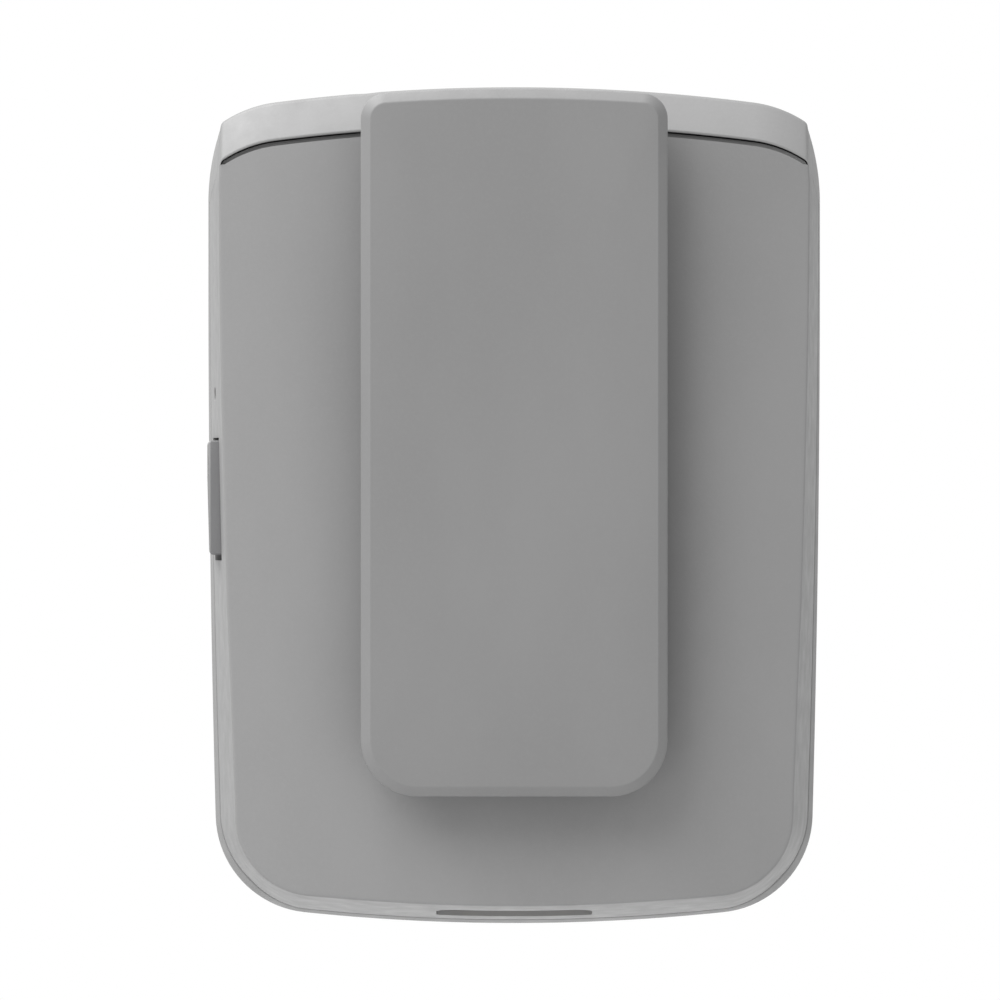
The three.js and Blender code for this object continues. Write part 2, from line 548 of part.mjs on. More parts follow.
function batteryShellFront() {
  const blank = bevelledSlab(packOutline(0), PACK.splitY - 1, CASE.frontY, PACK.bevel, PACK.bevel, 4);
  const skin = cut(solid(blank), acrossCase([-FAR, PACK.splitY + GAP], [-FAR, FAR]));
  const hollow = slab(packOutline(PACK.wall), PACK.splitY - 1, CASE.frontY - PACK.face, 4);
  const latchHole = block(centred(0, LATCH.halfWidth + GAP), [PACK.splitY, FAR], LATCH.holeZ);
  return cut(skin, hollow, latchHole);
}

function batteryShellBack() {
  const body = solid(slab(packOutline(0), PACK.rearY, PACK.splitY, 4));
  const hollow = slab(packOutline(PACK.wall), PACK.rearY + PACK.floor, PACK.splitY + 1, 4);
  const { halfWidth, z, clearance, holeDepth } = BATTERY_PAD;
  const holeZ = [z[0] - clearance, z[1] + clearance];
  const holeY = [PACK.rearY - 1, PACK.rearY + holeDepth];
  const padHoles = WELL.contactX.map((x) => block(centred(x, halfWidth + clearance), holeY, holeZ));
  return cut(body, hollow, ...padHoles);
}

function batteryLatch() {
  const thumb = block(centred(0, LATCH.halfWidth), LATCH.y, LATCH.z);
  const slide = block(centred(0, LATCH_SLIDE.halfWidth), LATCH_SLIDE.y, LATCH_SLIDE.z);
  const grooves = [0, 1, 2].map((row) => {
    const z = LATCH_GROOVE.firstZ + row * LATCH_GROOVE.pitch;
    const y = [LATCH_GROOVE.floorY, FAR];
    return block(centred(0, LATCH_GROOVE.halfWidth), y, [z, z + LATCH_GROOVE.height]);
  });
  return cut(join(solid(thumb), slide), ...grooves);
}

// ---------------------------------------------------------------- belt clip
function clipScrewHeights() {
  return centred(PIN.z, CLIP_SCREW_SPACING);
}

function clipOutline() {
  const { bottomCorner, topCorner } = CLIP_EDGE;
  const shoulderX = CLIP.halfWidth - topCorner;
  const sag = shoulderX ** 2 / (2 * ARC.top);
  const shoulderZ = CLIP.topZ - sag;
  const shape = new THREE.Shape();
  shape.absarc(CLIP.halfWidth - bottomCorner, CLIP.bottomZ + bottomCorner, bottomCorner, -Math.PI / 2, 0);
  shape.absarc(shoulderX, shoulderZ - topCorner, topCorner, 0, Math.PI / 2);
  shape.quadraticCurveTo(0, CLIP.topZ + sag, -shoulderX, shoulderZ);
  shape.absarc(-shoulderX, shoulderZ - topCorner, topCorner, Math.PI / 2, Math.PI);
  const cornerX = CLIP.halfWidth - bottomCorner;
  shape.absarc(-cornerX, CLIP.bottomZ + bottomCorner, bottomCorner, Math.PI, 1.5 * Math.PI);
  return shape;
}

// A lug in Y and Z that stands on a base line and ends in an arc round the hinge pin.
function lug(baseY, baseFrom, baseTo, radius, towardsCase) {
  const middle = towardsCase ? 0 : Math.PI;
  const spread = 1.2;
  const shape = new THREE.Shape();
  const [first, last] = towardsCase ? [baseFrom, baseTo] : [baseTo, baseFrom];
  shape.moveTo(baseY, first);
  shape.absarc(PIN.y, PIN.z, radius, middle - spread, middle + spread);
  shape.lineTo(baseY, last);
  return shape;
}

function beltClip() {
  const outerY = CLIP.innerY - CLIP.thickness;
  const leaf = bevelledSlab(clipOutline(), outerY, CLIP.innerY, CLIP_EDGE.bevel, CLIP_EDGE.bevelDepth, 5);
  const rootY = CLIP.innerY - SINK;
  const earShape = lug(rootY, ...EAR.z, EAR.radius, true);
  const ears = mirrored(EAR.x).map((x) => plate(earShape, ...x, 4));
  const tooth = new THREE.Shape([
    new THREE.Vector2(rootY, TOOTH.rootZ[0]),
    new THREE.Vector2(CASE.rearY - TOOTH.reach, TOOTH.tipZ[0]),
    new THREE.Vector2(CASE.rearY - TOOTH.reach, TOOTH.tipZ[1]),
    new THREE.Vector2(rootY, TOOTH.rootZ[1]),
  ]);
  const body = join(solid(leaf), ...ears, plate(tooth, -TOOTH.halfWidth, TOOTH.halfWidth));
  return cut(body, pinHole());
}

// A range of X on the right and its mirror on the left.
function mirrored([from, to]) {
  return [[-to, -from], [from, to]];
}

function pinHole() {
  return rod(PIN.radius + GAP, 'x', ...HINGE_CUT.x, [PIN.y, PIN.z], 16);
}

function clipBracket() {
  const baseY = [CASE.rearY - GAP - BRACKET.thickness, CASE.rearY - GAP];
  const base = block(centred(0, BRACKET.halfWidth), baseY, BRACKET.z);
  const lugShape = lug(baseY[0] + SINK, ...BRACKET_LUG.z, BRACKET_LUG.radius, false);
  const lugs = mirrored(BRACKET_LUG.x).map((x) => plate(lugShape, ...x, 4));
  const screwHoles = clipScrewHeights().map((z) => rod(SCREW.hole, 'y', ...HINGE_CUT.y, [0, z], 12));
  const windowX = centred(0, SPRING_WINDOW.halfWidth);
  const springWindow = block(windowX, HINGE_CUT.y, centred(PIN.z, SPRING_WINDOW.halfHeight));
  return cut(join(solid(base), ...lugs), ...screwHoles, springWindow, pinHole());
}

// A torsion spring: one leg lies on the bracket and the other behind the gripping half of the leaf.
function clipSpring() {
  const { coil, wire, turns, perTurn, halfLength, steps } = SPRING;
  const points = SPRING_LEG.z.map((z) => new THREE.Vector3(-halfLength, SPRING_LEG.y, z));
  const count = turns * perTurn;
  for (let i = 0; i <= count; i += 1) {
    const angle = (i / perTurn) * 2 * Math.PI;
    const x = -halfLength + (2 * halfLength * i) / count;
    points.push(new THREE.Vector3(x, PIN.y + coil * Math.cos(angle), PIN.z + coil * Math.sin(angle)));
  }
  points.push(new THREE.Vector3(halfLength, PIN.y - coil, SPRING_LEG.startZ));
  points.push(new THREE.Vector3(halfLength, PIN.y - coil, SPRING_LEG.endZ));
  const section = new THREE.Shape();
  section.absarc(0, 0, wire, 0, 2 * Math.PI);
  const extrudePath = new THREE.CatmullRomCurve3(points);
  return new THREE.ExtrudeGeometry(section, { steps, extrudePath, curveSegments: 3 });
}

// ---------------------------------------------------------------- fasteners and contacts
// A screw on its own axis: the head is at the top, with a crossed recess.
function screw(length) {
  const { shank, tip, point, head, headHeight, dome } = SCREW;
  const profile = [
    [0, -length],
    [tip, -length],
    [shank, point - length],
    [shank, 0],
    [head, 0],
    [head - dome, headHeight],
    [0, headHeight],
  ];
  const { reach, halfWidth, floor } = CROSS;
  const arms = [[reach, halfWidth], [halfWidth, reach]];
  const slots = arms.map(([x, y]) => block([-x, x], [-y, y], [floor, FAR]));
  return cut(solid(turned(profile, 12)), ...slots);
}

function chargingContact() {
  const { radius, tip, height } = CONTACT;
  return turned([[0, 0], [radius - tip, 0], [radius, tip], [radius, height], [0, height]], 12);
}

function contactPin() {
  const { radius, tip, shoulder, length } = BATTERY_PIN;
  return turned([[0, 0], [radius, 0], [radius, shoulder], [tip, length - 0.1], [0, length]], 10);
}

function contactBlock() {
  const { halfWidth, topY, z } = PIN_BLOCK;
  const bore = BATTERY_PIN.radius + GAP;
  const holes = WELL.contactX.map((x) => rod(bore, 'y', 0, PACK.rearY, [x, BATTERY_PIN.z], 10));
  return cut(solid(block(centred(0, halfWidth), [BOARD.frontY + GAP, topY], z)), ...holes);
}

// ---------------------------------------------------------------- the assembly
const GREY_PLASTIC = { color: 0x8f8f8f, roughness: 0.62, metalness: 0 };
const DARK_PLASTIC = { color: 0x2b2c2e, roughness: 0.6, metalness: 0 };
const RUBBER = { color: 0x5c5d5f, roughness: 0.85, metalness: 0 };
const STEEL = { color: 0xb4b6b8, roughness: 0.35, metalness: 1 };
const GOLD = { color: 0xd8b25c, roughness: 0.3, metalness: 1 };
const BOARD_GREEN = { color: 0x1f4d33, roughness: 0.5, metalness: 0 };
const CHIP_BLACK = { color: 0x17181a, roughness: 0.45, metalness: 0 };
const CLEAR = { color: 0xe6ebee, roughness: 0.1, metalness: 0 };
const CELL_WRAP = { color: 0x9aa0a6, roughness: 0.4, metalness: 0.4 };

const pack = new THREE.Group();
pack.position.set(0, -SEAT.y, -SEAT.z);

function addPiece(name, shape, finish) {
  const geometry = shape instanceof THREE.BufferGeometry ? shape : geometryOf(shape);
  const mesh = new THREE.Mesh(geometry, new THREE.MeshStandardMaterial(finish));
  mesh.name = name;
  pack.add(mesh);
  return mesh;
}

function addCasing() {
  addPiece('rear_housing', rearHousing(), GREY_PLASTIC);
  addPiece('front_housing', frontHousing(), GREY_PLASTIC);
  addPiece('top_cap', topCap(), GREY_PLASTIC);
  addPiece('case_seal', caseSeal(), RUBBER);
  addPiece('inner_frame', innerFrame(), DARK_PLASTIC);
  SCREW_PLACES.forEach(([x, z], index) => {
    const mesh = addPiece(`case_screw_${index + 1}`, screw(CASE_SCREW_LENGTH), STEEL);
    mesh.rotation.x = -Math.PI / 2;
    mesh.position.set(x, FRAME.plateY[1] + GAP, z);
  });
}

// A plain component that stands just clear of the main board.
function onBoard(x, topY, z) {
  return block(x, [BOARD.frontY + GAP, topY], z);
}

function addElectronics() {
  addPiece('main_board', mainBoard(), BOARD_GREEN);
  addPiece('rf_shield', block(SHIELD.x, [SHIELD.rearY, BOARD.rearY - GAP], SHIELD.z), STEEL);
  for (const [name, { x, topY, z }] of Object.entries(CHIPS)) {
    addPiece(name, onBoard(x, topY, z), CHIP_BLACK);
  }
  addPiece('antenna_left', antenna(-1), GOLD);
  addPiece('antenna_right', antenna(1), GOLD);
  addPiece('battery_contact_block', contactBlock(), DARK_PLASTIC);
  WELL.contactX.forEach((x, index) => {
    const pin = addPiece(`battery_contact_pin_${index + 1}`, contactPin(), GOLD);
    pin.rotation.x = -Math.PI / 2;
    pin.position.set(x, BATTERY_PIN.y, BATTERY_PIN.z);
    const contact = addPiece(`charging_contact_${index + 1}`, chargingContact(), GOLD);
    contact.position.set(x, WELL.contactY, CONTACT.bottomZ);
  });
}

function addControls() {
  addPiece('jack_socket', jackSocket(), DARK_PLASTIC).position.set(JACK.x, JACK.y, 0);
  addPiece('jack_collar', jackCollar(), STEEL).position.set(JACK.x, JACK.y, 0);
  addPiece('mute_switch_knob', muteKnob(), DARK_PLASTIC);
  addPiece('mute_switch_body', onBoard(MUTE_BODY.x, MUTE_BODY.topY, MUTE_BODY.z), STEEL);
  addPiece('power_button', powerButton(), RUBBER).position.set(0, 0, POWER.z);
  const { halfWidth, topY } = POWER_SWITCH;
  addPiece('power_switch', onBoard(centred(0, halfWidth), topY, centred(POWER.z, halfWidth)), STEEL);
  for (const [name, x] of Object.entries(LENS.places)) {
    addPiece(name, rod(LENS.radius, 'z', LENS.bottomZ, LENS.topZ, [x, LENS.y], 12), CLEAR);
  }
  const { x, y, z, radius } = CHARGE_LENS;
  addPiece('charge_lens', rod(radius, 'x', ...x, [y, z], 12), CLEAR);
  addPiece('usb_socket', usbSocket(), STEEL);
  addPiece('usb_cover', usbCover(), RUBBER);
}

function addBattery() {
  addPiece('battery_shell_front', batteryShellFront(), GREY_PLASTIC);
  addPiece('battery_shell_back', batteryShellBack(), DARK_PLASTIC);
  addPiece('battery_cell', block(CELL.x, CELL.y, CELL.z), CELL_WRAP);
  addPiece('battery_board', block(PACK_BOARD.x, PACK_BOARD.y, PACK_BOARD.z), BOARD_GREEN);
  addPiece('battery_latch', batteryLatch(), DARK_PLASTIC);
  WELL.contactX.forEach((x, index) => {
    const padX = centred(x, BATTERY_PAD.halfWidth);
    addPiece(`battery_pad_${index + 1}`, block(padX, BATTERY_PAD.y, BATTERY_PAD.z), GOLD);
  });
}

function addClip() {
  addPiece('clip_bracket', clipBracket(), DARK_PLASTIC);
  addPiece('belt_clip', beltClip(), GREY_PLASTIC);
  const hingePin = rod(PIN.radius, 'x', -PIN.halfLength, PIN.halfLength, [PIN.y, PIN.z], 16);
  addPiece('clip_hinge_pin', hingePin, STEEL);
  addPiece('clip_spring', clipSpring(), STEEL);
  clipScrewHeights().forEach((z, index) => {
    const mesh = addPiece(`clip_screw_${index + 1}`, screw(CLIP_SCREW_LENGTH), STEEL);
    mesh.rotation.x = Math.PI / 2;
    mesh.position.set(0, CASE.rearY - BRACKET.thickness - 2 * GAP, z);
  });
}

addCasing();
addElectronics();
addControls();
addBattery();
addClip();

export default pack;
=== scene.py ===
import json
import math
from contextlib import contextmanager

import bmesh
import bpy
import numpy as np
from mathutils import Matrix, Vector

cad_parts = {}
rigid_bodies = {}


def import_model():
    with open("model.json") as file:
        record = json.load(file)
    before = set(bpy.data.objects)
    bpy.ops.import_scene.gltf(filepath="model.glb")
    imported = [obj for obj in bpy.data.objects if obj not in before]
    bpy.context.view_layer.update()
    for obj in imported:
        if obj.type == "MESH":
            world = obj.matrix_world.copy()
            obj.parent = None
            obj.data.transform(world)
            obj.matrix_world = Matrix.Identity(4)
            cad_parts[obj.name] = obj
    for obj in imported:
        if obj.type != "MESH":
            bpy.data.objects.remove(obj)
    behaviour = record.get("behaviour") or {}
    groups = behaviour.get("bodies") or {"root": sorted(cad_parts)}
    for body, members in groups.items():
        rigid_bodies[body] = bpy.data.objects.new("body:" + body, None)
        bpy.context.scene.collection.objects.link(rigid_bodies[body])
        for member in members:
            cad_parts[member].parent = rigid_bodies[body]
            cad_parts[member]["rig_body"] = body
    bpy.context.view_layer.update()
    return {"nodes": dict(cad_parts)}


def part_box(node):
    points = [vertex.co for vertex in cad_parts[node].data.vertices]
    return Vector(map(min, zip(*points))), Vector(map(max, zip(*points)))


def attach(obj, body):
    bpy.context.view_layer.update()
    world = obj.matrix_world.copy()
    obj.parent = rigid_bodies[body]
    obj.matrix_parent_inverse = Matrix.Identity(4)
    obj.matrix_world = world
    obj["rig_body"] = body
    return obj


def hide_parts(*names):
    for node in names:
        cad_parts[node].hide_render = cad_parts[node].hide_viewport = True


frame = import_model()

# Lengths are in millimetres, measured from the bottom of the case and its middle depth, as the
# CAD model's are. place() turns them into metres in the shared frame.
MM = 0.001
CASE_DEPTH = 20.5
FRONT_Y = CASE_DEPTH / 2
REAR_Y = -CASE_DEPTH / 2
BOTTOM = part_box("front_housing")[0].z
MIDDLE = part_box("front_housing")[1].y - FRONT_Y * MM
HALF_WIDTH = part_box("front_housing")[1].x / MM
HEIGHT = (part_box("top_cap")[1].z - BOTTOM) / MM
WIDEST_Z = 68.0
PARTING_Y = 3.0
GAP = 0.3
WALL = 1.8
INNER_Y = FRONT_Y - WALL

# The outline is a chain of arcs that touch each other.
BOTTOM_ARC, FOOT_ARC, LOWER_ARC = 215.0, 10.5, 2090.0
SIDE_ARC, SIDE_BEND_Z = 24.0, 76.5
CORNER_ARC, SHOULDER_ARC, SHOULDER_X, TOP_ARC = 0.9, 13.0, 25.3, 200.0

CROWN_FLAT, CROWN_ARC = 13.0, 75.0
FRONT_BEVEL = 1.2
EDGE_Y = FRONT_Y - 0.35 * FRONT_BEVEL
RIM_DEPTH = 1.8

# The cap's band, and how far the two housings stay below the outline under it.
CAP_BAND, CAP_LIP, CAP_ROOF, CAP_REAR, SLOPE_DEPTH = 3.85, 0.25, 2.2, -8.25, 3.0
REAR_DROP, LEDGE_DROP, LEDGE_Y, FRONT_DROP = 4.55, 4.15, -7.6, 4.3
TAIL_WALL, TAIL_GAP, SEAM_GAP = 0.45, 0.1, 0.05
# The cap's lower edge seen from the side, as depth and height.
SEAM = [(-15.0, 80.4), (-8.1, 80.4), (3.2, 76.4), (15.0, 76.4)]
MERGE_DISTANCE = 1e-7


# ---------------------------------------------------------------- meshes
def place(points):
    """Points in millimetres as metres in the shared frame."""
    points = np.asarray(points, float) * MM
    return points + np.array([0.0, MIDDLE, BOTTOM])


@contextmanager
def editing(mesh):
    """A mesh opened for changes, which are written back to it at the end."""
    shape = bmesh.new()
    shape.from_mesh(mesh)
    yield shape
    shape.to_mesh(mesh)
    shape.free()


def linked(name, data):
    """A new object in the scene for a mesh, a light or a camera."""
    item = bpy.data.objects.new(name, data)
    bpy.context.scene.collection.objects.link(item)
    return item


def new_object(name, vertices, faces):
    mesh = bpy.data.meshes.new(name)
    mesh.from_pydata([tuple(v) for v in place(vertices)], [], faces)
    with editing(mesh) as shape:
        bmesh.ops.remove_doubles(shape, verts=shape.verts, dist=MERGE_DISTANCE)
        bmesh.ops.recalc_face_normals(shape, faces=shape.faces)
    return linked(name, mesh)


def skin(name, grid, wrap_u=False, wrap_v=True):
    """A closed surface over a grid of points: rings run along v and follow each other along u.

    Where a way doesn't wrap round to its start, a face closes each of its ends."""
    rows, columns = grid.shape[:2]
    faces = []
    for u in range(rows if wrap_u else rows - 1):
        for v in range(columns if wrap_v else columns - 1):
            after_u, after_v = (u + 1) % rows, (v + 1) % columns
            faces.append((u * columns + v, u * columns + after_v,
                          after_u * columns + after_v, after_u * columns + v))
    if not wrap_v:
        faces.append([u * columns for u in range(rows)])
        faces.append([u * columns + columns - 1 for u in reversed(range(rows))])
    if not wrap_u:
        faces.append(list(range(columns)))
        faces.append([(rows - 1) * columns + v for v in reversed(range(columns))])
    return new_object(name, grid.reshape(-1, 3), faces)


def bend(first, corner, last, steps):
    """Rings along a smooth bend from one ring to another, pulled towards the corner ring."""
    rings = []
    for step in range(steps + 1):
        t = step / steps
        rings.append((1 - t) ** 2 * first + 2 * t * (1 - t) * corner + t * t * last)
    return rings


def rounded(rings, radii, steps=4):
    """The same rings with each corner ring replaced by a bend of about the radius given for it."""
    count = len(rings)
    result = []
    for index, (ring, radius) in enumerate(zip(rings, radii)):
        if not radius:
            result.append(ring)
            continue
        before, after = rings[(index - 1) % count], rings[(index + 1) % count]
        ends = []
        for other in (before, after):
            away = other - ring
            length = np.linalg.norm(away, axis=1, keepdims=True)
            share = np.minimum(radius / np.maximum(length, 1e-6), 0.48)
            ends.append(ring + away * share)
        result.extend(bend(ends[0], ring, ends[1], steps))
    return result


def shade(piece, angle=35):
    piece.data.shade_smooth()
    piece.data.set_sharp_from_angle(angle=math.radians(angle))
    return piece


def apply_modifiers(piece):
    graph = bpy.context.evaluated_depsgraph_get()
    graph.update()
    mesh = bpy.data.meshes.new_from_object(piece.evaluated_get(graph))
    piece.modifiers.clear()
    piece.data = mesh


def merged(pieces):
    """One object out of several that don't touch each other."""
    shape = bmesh.new()
    for piece in pieces:
        shape.from_mesh(piece.data)
        bpy.data.objects.remove(piece)
    mesh = bpy.data.meshes.new("tools")
    shape.to_mesh(mesh)
    shape.free()
    return linked("tools", mesh)


def boolean(piece, operation, *tools):
    tool = merged(tools) if len(tools) > 1 else tools[0]
    modifier = piece.modifiers.new("cut", "BOOLEAN")
    modifier.operation = operation
    modifier.solver = "MANIFOLD"
    modifier.object = tool
    apply_modifiers(piece)
    bpy.data.objects.remove(tool)
    return piece


def cut(piece, *tools):
    return boolean(piece, "DIFFERENCE", *tools)


def join(piece, *others):
    for other in others:
        boolean(piece, "UNION", other)
    return piece


def ring_xz(points, y):
    return np.column_stack([points[:, 0], np.full(len(points), float(y)), points[:, 1]])


def rounded_rectangle(x, z, corner, steps=8):
    """Points round a rectangle in X and Z; corner is one radius, or the bottom and the top one."""
    low, high = corner if isinstance(corner, tuple) else (corner, corner)
    centres = [(x[1] - low, z[0] + low, low, -90), (x[1] - high, z[1] - high, high, 0),
               (x[0] + high, z[1] - high, high, 90), (x[0] + low, z[0] + low, low, 180)]
    points = []
    for cx, cz, radius, start in centres:
        for angle in np.radians(np.linspace(start, start + 90, steps + 1)):
            points.append((cx + radius * math.cos(angle), cz + radius * math.sin(angle)))
    return np.array(points)


def swap(piece, order):
    """Turns a piece drawn along Y so that it runs along X or Z: order names the old axes."""
    for vertex in piece.data.vertices:
        mm = (np.array(vertex.co) - np.array([0.0, MIDDLE, BOTTOM])) / MM
        vertex.co = place([mm["xyz".index(axis)] for axis in order])
    with editing(piece.data) as shape:
        bmesh.ops.recalc_face_normals(shape, faces=shape.faces)
    return piece


def prism(name, outline, y, grow=(), radii=None, steps=4):
    """A solid along Y over an outline. grow gives, for each y, how far the outline moves outward."""
    grow = grow or [0] * len(y)
    normals = outline_normals(outline)
    rings = [ring_xz(outline + normals * g, level) for level, g in zip(y, grow)]
    if radii:
        centre = outline.mean(axis=0)
        middle = centre + (outline - centre) * 0.5
        rings = [ring_xz(middle, y[0]), *rings, ring_xz(middle, y[-1])]
        rings = rounded(rings, [0, *radii, 0], steps)
    return skin(name, np.array(rings))


def side_prism(points, x):
    """A solid across the case over an outline given as (depth, height) pairs."""
    y, z = np.array(points).T
    rings = [np.column_stack([np.full(len(y), float(level)), y, z]) for level in x]
    return skin("side", np.array(rings))


def outline_normals(outline):
    """Unit normals of a closed outline that runs anticlockwise."""
    ahead = np.roll(outline, -1, axis=0) - np.roll(outline, 1, axis=0)
    normals = np.column_stack([ahead[:, 1], -ahead[:, 0]])
    return normals / np.maximum(np.linalg.norm(normals, axis=1, keepdims=True), 1e-9)


def block(x, y, z, corner=0.2, edge=0.0):
    """A box with round corners along Y and, where edge isn't 0, soft edges on both faces."""
    outline = rounded_rectangle(x, z, corner, 4)
    return prism("block", outline, y, radii=[edge, edge] if edge else None, steps=3)


def turned_rings(profile, axis, at, sides):
    """A ring round an axis for each [radius, height] pair of a profile."""
    angles = np.linspace(0, 2 * np.pi, sides, endpoint=False)
    rings = []
    for radius, height in profile:
        across, up = radius * np.cos(angles), radius * np.sin(angles)
        level = np.full(sides, float(height))
        order = {"x": (level, across, up), "y": (up, level, across), "z": (across, up, level)}[axis]
        rings.append(np.column_stack(order) + np.array(at))
    return np.array(rings)


def lathe(name, profile, axis="z", at=(0.0, 0.0, 0.0), sides=48):
    """A turned solid, its profile drawn from the axis out and back to the axis."""
    profile = [(max(radius, 1e-4), height) for radius, height in profile]
    return skin(name, turned_rings(profile, axis, at, sides))


def tube(name, profile, axis="z", at=(0.0, 0.0, 0.0), sides=48):
    """A turned ring: its profile closes on itself and stays off the axis."""
    return skin(name, turned_rings(profile, axis, at, sides), wrap_u=True)


def rod(radius, y, x, z, axis="y", sides=32):
    """A plain round cutter or boss between two levels of one axis."""
    at = {"y": (x, 0.0, z), "z": (x, z, 0.0), "x": (0.0, x, z)}[axis]
    return lathe("rod", [(0, y[0]), (radius, y[0]), (radius, y[1]), (0, y[1])], axis, at, sides)


# ---------------------------------------------------------------- outline of the case
def corner_centre(first, second, radius, upper):
    """The centre of a corner arc that lies inside two large circles and touches both."""
    (first_centre, first_radius), (second_centre, second_radius) = first, second
    reach, other = first_radius - radius, second_radius - radius
    between = second_centre - first_centre
    distance = np.linalg.norm(between)
    along = (reach ** 2 - other ** 2 + distance ** 2) / (2 * distance)
    across = math.sqrt(reach ** 2 - along ** 2)
    unit = between / distance
    foot = first_centre + unit * along
    side = np.array([-unit[1], unit[0]]) * across
    return sorted([foot + side, foot - side], key=lambda point: point[1])[1 if upper else 0]


def turn(circle, point):
    """The angle at which a point lies from a circle's centre."""
    return math.atan2(point[1] - circle[0][1], point[0] - circle[0][0])


def arc(centre, radius, start, stop, steps):
    angles = np.linspace(start, stop, steps, endpoint=False)
    normals = np.column_stack([np.cos(angles), np.sin(angles)])
    return centre + radius * normals, normals


def case_outline(wall=0.0):
    """Points round the case and their outward normals, moved in by a wall's thickness."""
    bottom = (np.array([0.0, BOTTOM_ARC]), BOTTOM_ARC - wall)
    lower = (np.array([HALF_WIDTH - LOWER_ARC, WIDEST_Z]), LOWER_ARC - wall)
    side = (np.array([HALF_WIDTH - SIDE_ARC, SIDE_BEND_Z]), SIDE_ARC - wall)
    top = (np.array([0.0, HEIGHT - TOP_ARC]), TOP_ARC - wall)
    lean = math.asin(SHOULDER_X / TOP_ARC)
    towards = np.array([math.sin(lean), math.cos(lean)])
    shoulder = (top[0] + towards * (TOP_ARC - SHOULDER_ARC), SHOULDER_ARC - wall)
    foot_radius, corner_radius = FOOT_ARC - wall, max(CORNER_ARC - wall, 0.3)
    foot = corner_centre(bottom, lower, foot_radius, False)
    corner = corner_centre(side, shoulder, corner_radius, True)
    levels = np.linspace(WIDEST_Z, SIDE_BEND_Z, 8, endpoint=False)
    straight = np.column_stack([np.full(len(levels), HALF_WIDTH - wall), levels])
    parts = [
        arc(*bottom, -math.pi / 2, turn(bottom, foot), 26),
        arc(foot, foot_radius, turn(bottom, foot), turn(lower, foot), 20),
        arc(*lower, turn(lower, foot), 0.0, 26),
        (straight, np.tile([1.0, 0.0], (len(levels), 1))),
        arc(*side, 0.0, turn(side, corner), 16),
        arc(corner, corner_radius, turn(side, corner), turn(shoulder, corner), 6),
        arc(*shoulder, turn(shoulder, corner), math.pi / 2 - lean, 16),
        arc(*top, math.pi / 2 - lean, math.pi / 2, 22),
        (np.array([[0.0, HEIGHT - wall]]), np.array([[0.0, 1.0]])),
    ]
    points = np.concatenate([part[0] for part in parts])
    normals = np.concatenate([part[1] for part in parts])
    flip = np.array([-1.0, 1.0])
    points = np.concatenate([points, points[-2:0:-1] * flip])
    return points, np.concatenate([normals, normals[-2:0:-1] * flip])


def sag(x):
    """How far the top's large arc has fallen at a distance from the middle."""
    return x * x / (2 * TOP_ARC)


def ease(value, start, stop):
    """0 before start and 1 after stop, with a smooth rise between."""
    share = np.clip((value - start) / (stop - start), 0, 1)
    return share ** 2 * (3 - 2 * share)


OUTLINE, NORMALS = case_outline()
LEVEL = OUTLINE[:, 1]
FACING = np.degrees(np.arctan2(NORMALS[:, 1], np.abs(NORMALS[:, 0])))
FADE = ease(LEVEL, 73.0, 84.0)  # how much of the band's drop each point takes: all of it on top
TAIL = 1 - ease(LEVEL, 81.5, 84.4)  # 1 on the sides, where the cap is a thin wall instead
# How far the side is drawn in at the parting line, and at the rear face.
STEP = np.where(LEVEL > 13, np.interp(LEVEL, [13, 66, 77, 84], [0.55, 0.2, 0.15, 0]),
                np.interp(FACING, [-90, -80, -45, -2], [0.4, 0.4, 0.8, 0.55]))
REAR_INSET = np.where(
    LEVEL > 13,
    np.interp(LEVEL, [13, 24, 34, 66, 77, 80, 82, 84, 84.6], [2.45, 2.3, 2.05, 1.5, 1.4, 1.2, 0.8, 0.2, 0]),
    np.interp(FACING, [-90, -60, -2], [1.95, 2.1, 2.45]))


def side_inset(y):
    """How far the side lies inside the outline at a depth: nothing in front, most at the rear."""
    rim = STEP * (1 - np.clip((y - PARTING_Y) / RIM_DEPTH, 0, 1))
    return rim + (REAR_INSET - STEP) * np.clip((PARTING_Y - y) / (PARTING_Y - REAR_Y), 0, None)


def case_ring(y, wall=0.0, inset=0.0, drop=0.0):
    """The case's outline at a depth: moved in by a wall, moved in point by point, then lowered."""
    points, normals = case_outline(wall)
    points = points - normals * np.reshape(inset, (-1, 1))
    return np.column_stack([points[:, 0], np.broadcast_to(y, len(points)), points[:, 1] - drop * FADE])


def body_ring(y, wall=0.0, inside=0.0, drop=0.0):
    """A ring of the case's side, and inside it by a further amount where the cap is a thin wall."""
    return case_ring(y, wall, side_inset(y) + inside * TAIL, drop)


def shrink(ring, share, crown=None):
    """A ring drawn in towards the middle of the face, on the crowned rear face where given."""
    centre = np.array([0.0, 0.0, HEIGHT / 2])
    result = centre + (ring - centre) * np.array([share, 0.0, share])
    result[:, 1] = ring[:, 1] if crown is None else crown(result[:, 0])
    return result


def solid(name, rings, radii=None, steps=4):
    """A solid over a row of rings, both ends closed by a ring drawn in towards the middle."""
    radii = radii or [0] * len(rings)
    closed = [shrink(rings[0], 0.5), *rings, shrink(rings[-1], 0.5)]
    return skin(name, np.array(rounded(closed, [0, *radii, 0], steps)))


def above_seam(plug):
    """Everything above the cap's lower edge, except for the plug that carries the cap."""
    points = [*SEAM, (15.0, 100.0), (-15.0, 100.0)]
    return cut(side_prism(points, (-40, 40)), plug)


# ---------------------------------------------------------------- rear housing
def crown(x, inset=0.0):
    """Depth of the rear face: flat behind the clip, then falling away towards both sides."""
    past = np.maximum(np.abs(x) - CROWN_FLAT, 0)
    return REAR_Y + inset + CROWN_ARC - np.sqrt(CROWN_ARC ** 2 - past ** 2)


